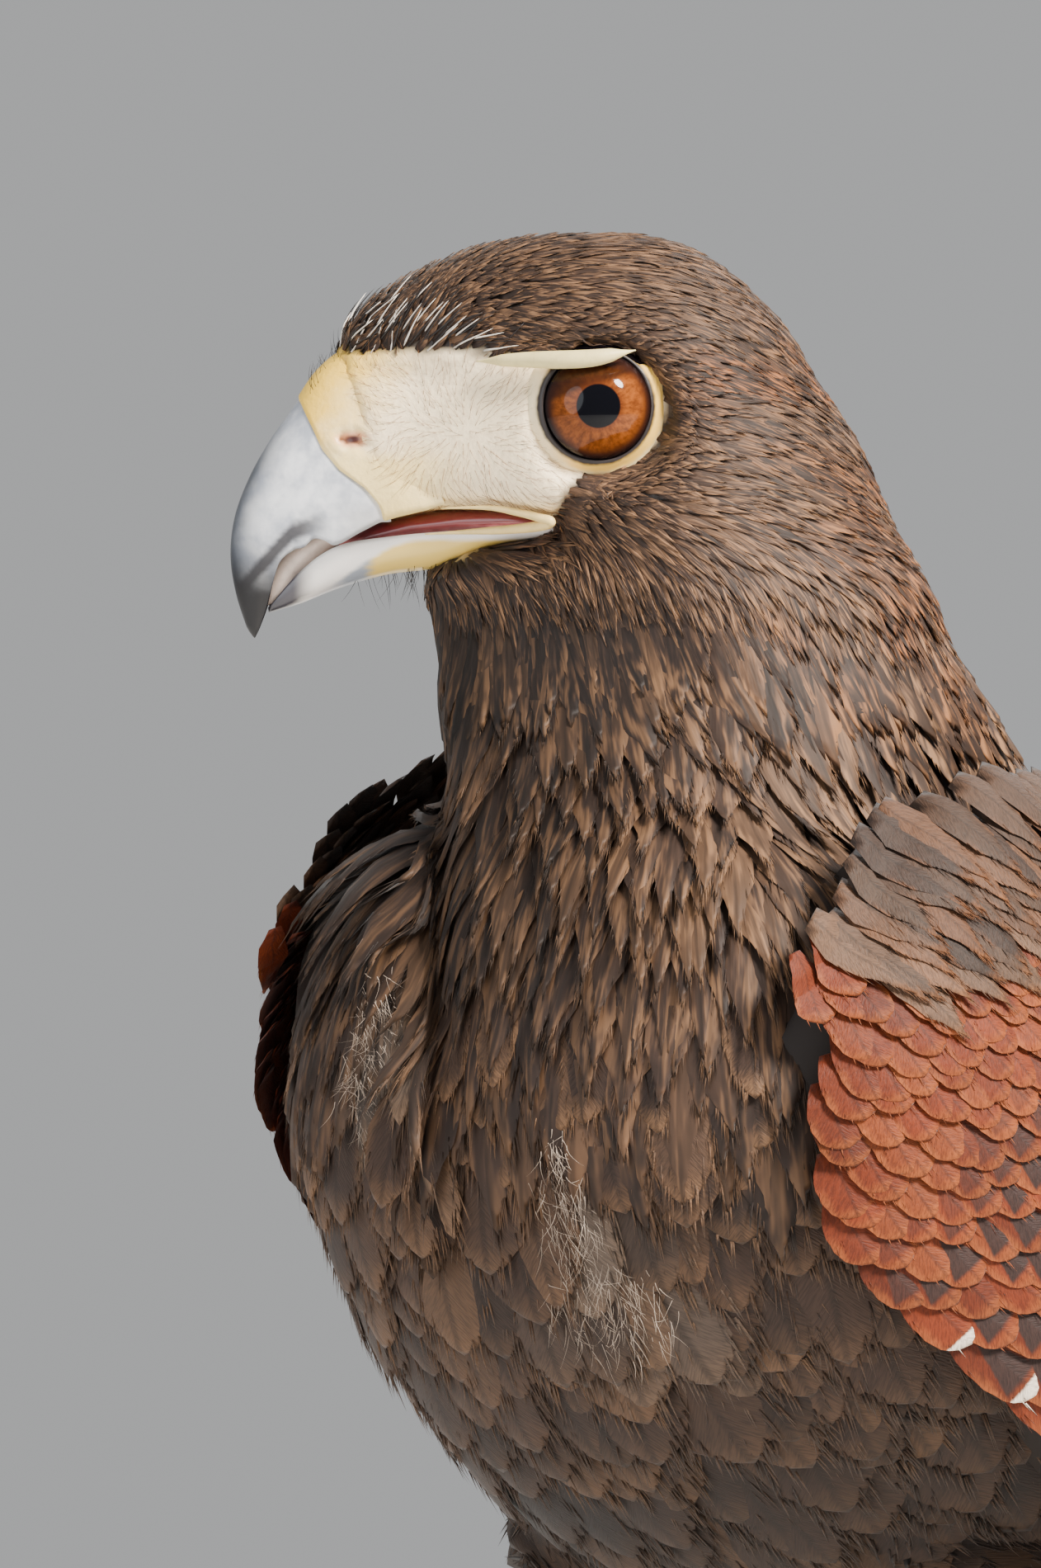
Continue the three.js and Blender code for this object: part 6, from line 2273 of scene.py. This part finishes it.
# %% Studio
FLOOR_RADIUS = 1.5
FLOOR_SIDES = 96
floor_mesh = raw_mesh("floor", [(FLOOR_RADIUS * math.cos(turn), FLOOR_RADIUS * math.sin(turn), 0)
                                for turn in around(FLOOR_SIDES)], [tuple(range(FLOOR_SIDES))])
floor = shown(bpy.data.objects.new("floor", floor_mesh))
floor_paint, floor_bench = new_material("pale_floor")
floor_cloud = floor_bench.noise(floor_bench.place(), 9.0, 4.0, 0.6)
floor_tone = floor_bench.mix((0.74, 0.73, 0.71, 1), (0.68, 0.67, 0.65, 1), floor_cloud.step(0.35, 0.7))
finish_material(floor_bench, Base_Color=floor_tone, Roughness=0.8)
dress(floor, floor_paint)

world = bpy.data.worlds.new("studio")
bpy.context.scene.world = world
world.use_nodes = True
world_bench = Bench(world.node_tree)
sky = world_bench.make("ShaderNodeBackground", {}, (0.86, 0.87, 0.88, 1), 0.5)
world_bench.make("ShaderNodeOutputWorld", {}, sky)


def facing(target, place):
    """The turn that makes a lamp or camera at place look at target."""
    return (Vector(target) - Vector(place)).to_track_quat("-Z", "Y").to_euler()


def softbox(name, place, target, size, watts, tone):
    lamp = bpy.data.lights.new(name, "AREA")
    lamp.shape = "DISK"
    lamp.size = size
    lamp.energy = watts
    lamp.color = tone
    made = bpy.data.objects.new(name, lamp)
    made.location = place
    made.rotation_euler = facing(target, place)
    return shown(made)


CAMERA_AZIMUTH = math.radians(45)
CAMERA_HEIGHT = math.radians(2)
CAMERA_DISTANCE = 1.6
CAMERA_LENS = 288
AIM = np.array([-15.5, -139.75, 307.1]) * MM
back = np.array([math.sin(CAMERA_AZIMUTH) * math.cos(CAMERA_HEIGHT),
                 -math.cos(CAMERA_AZIMUTH) * math.cos(CAMERA_HEIGHT), math.sin(CAMERA_HEIGHT)])
across_view = np.array([math.cos(CAMERA_AZIMUTH), math.sin(CAMERA_AZIMUTH), 0])
middle = np.array([0.0, 0.0, 0.25])
# Lamps: name, how far towards the camera, to the right and up, size, watts, tone
for name, near, right, up, size, watts, tone in [
    ("key", 0.9, 0.85, 1.1, 0.5, 116, (1, 0.95, 0.88)),
    ("fill", 1.0, -1.1, 0.3, 1.2, 13, (0.9, 0.95, 1)),
    ("rim", -1.0, 0.5, 1.1, 0.8, 14, (1, 1, 1)),
]:
    place = middle + back * near + across_view * right + [0, 0, up]
    softbox(name, tuple(place), tuple(middle), size, watts, tone)

lens = bpy.data.cameras.new("camera")
lens.lens = CAMERA_LENS
lens.clip_start = 0.05
lens.clip_end = 30
camera = shown(bpy.data.objects.new("camera", lens))
camera.location = tuple(AIM + back * CAMERA_DISTANCE)
camera.rotation_euler = facing(tuple(AIM), camera.location)
bpy.context.scene.camera = camera
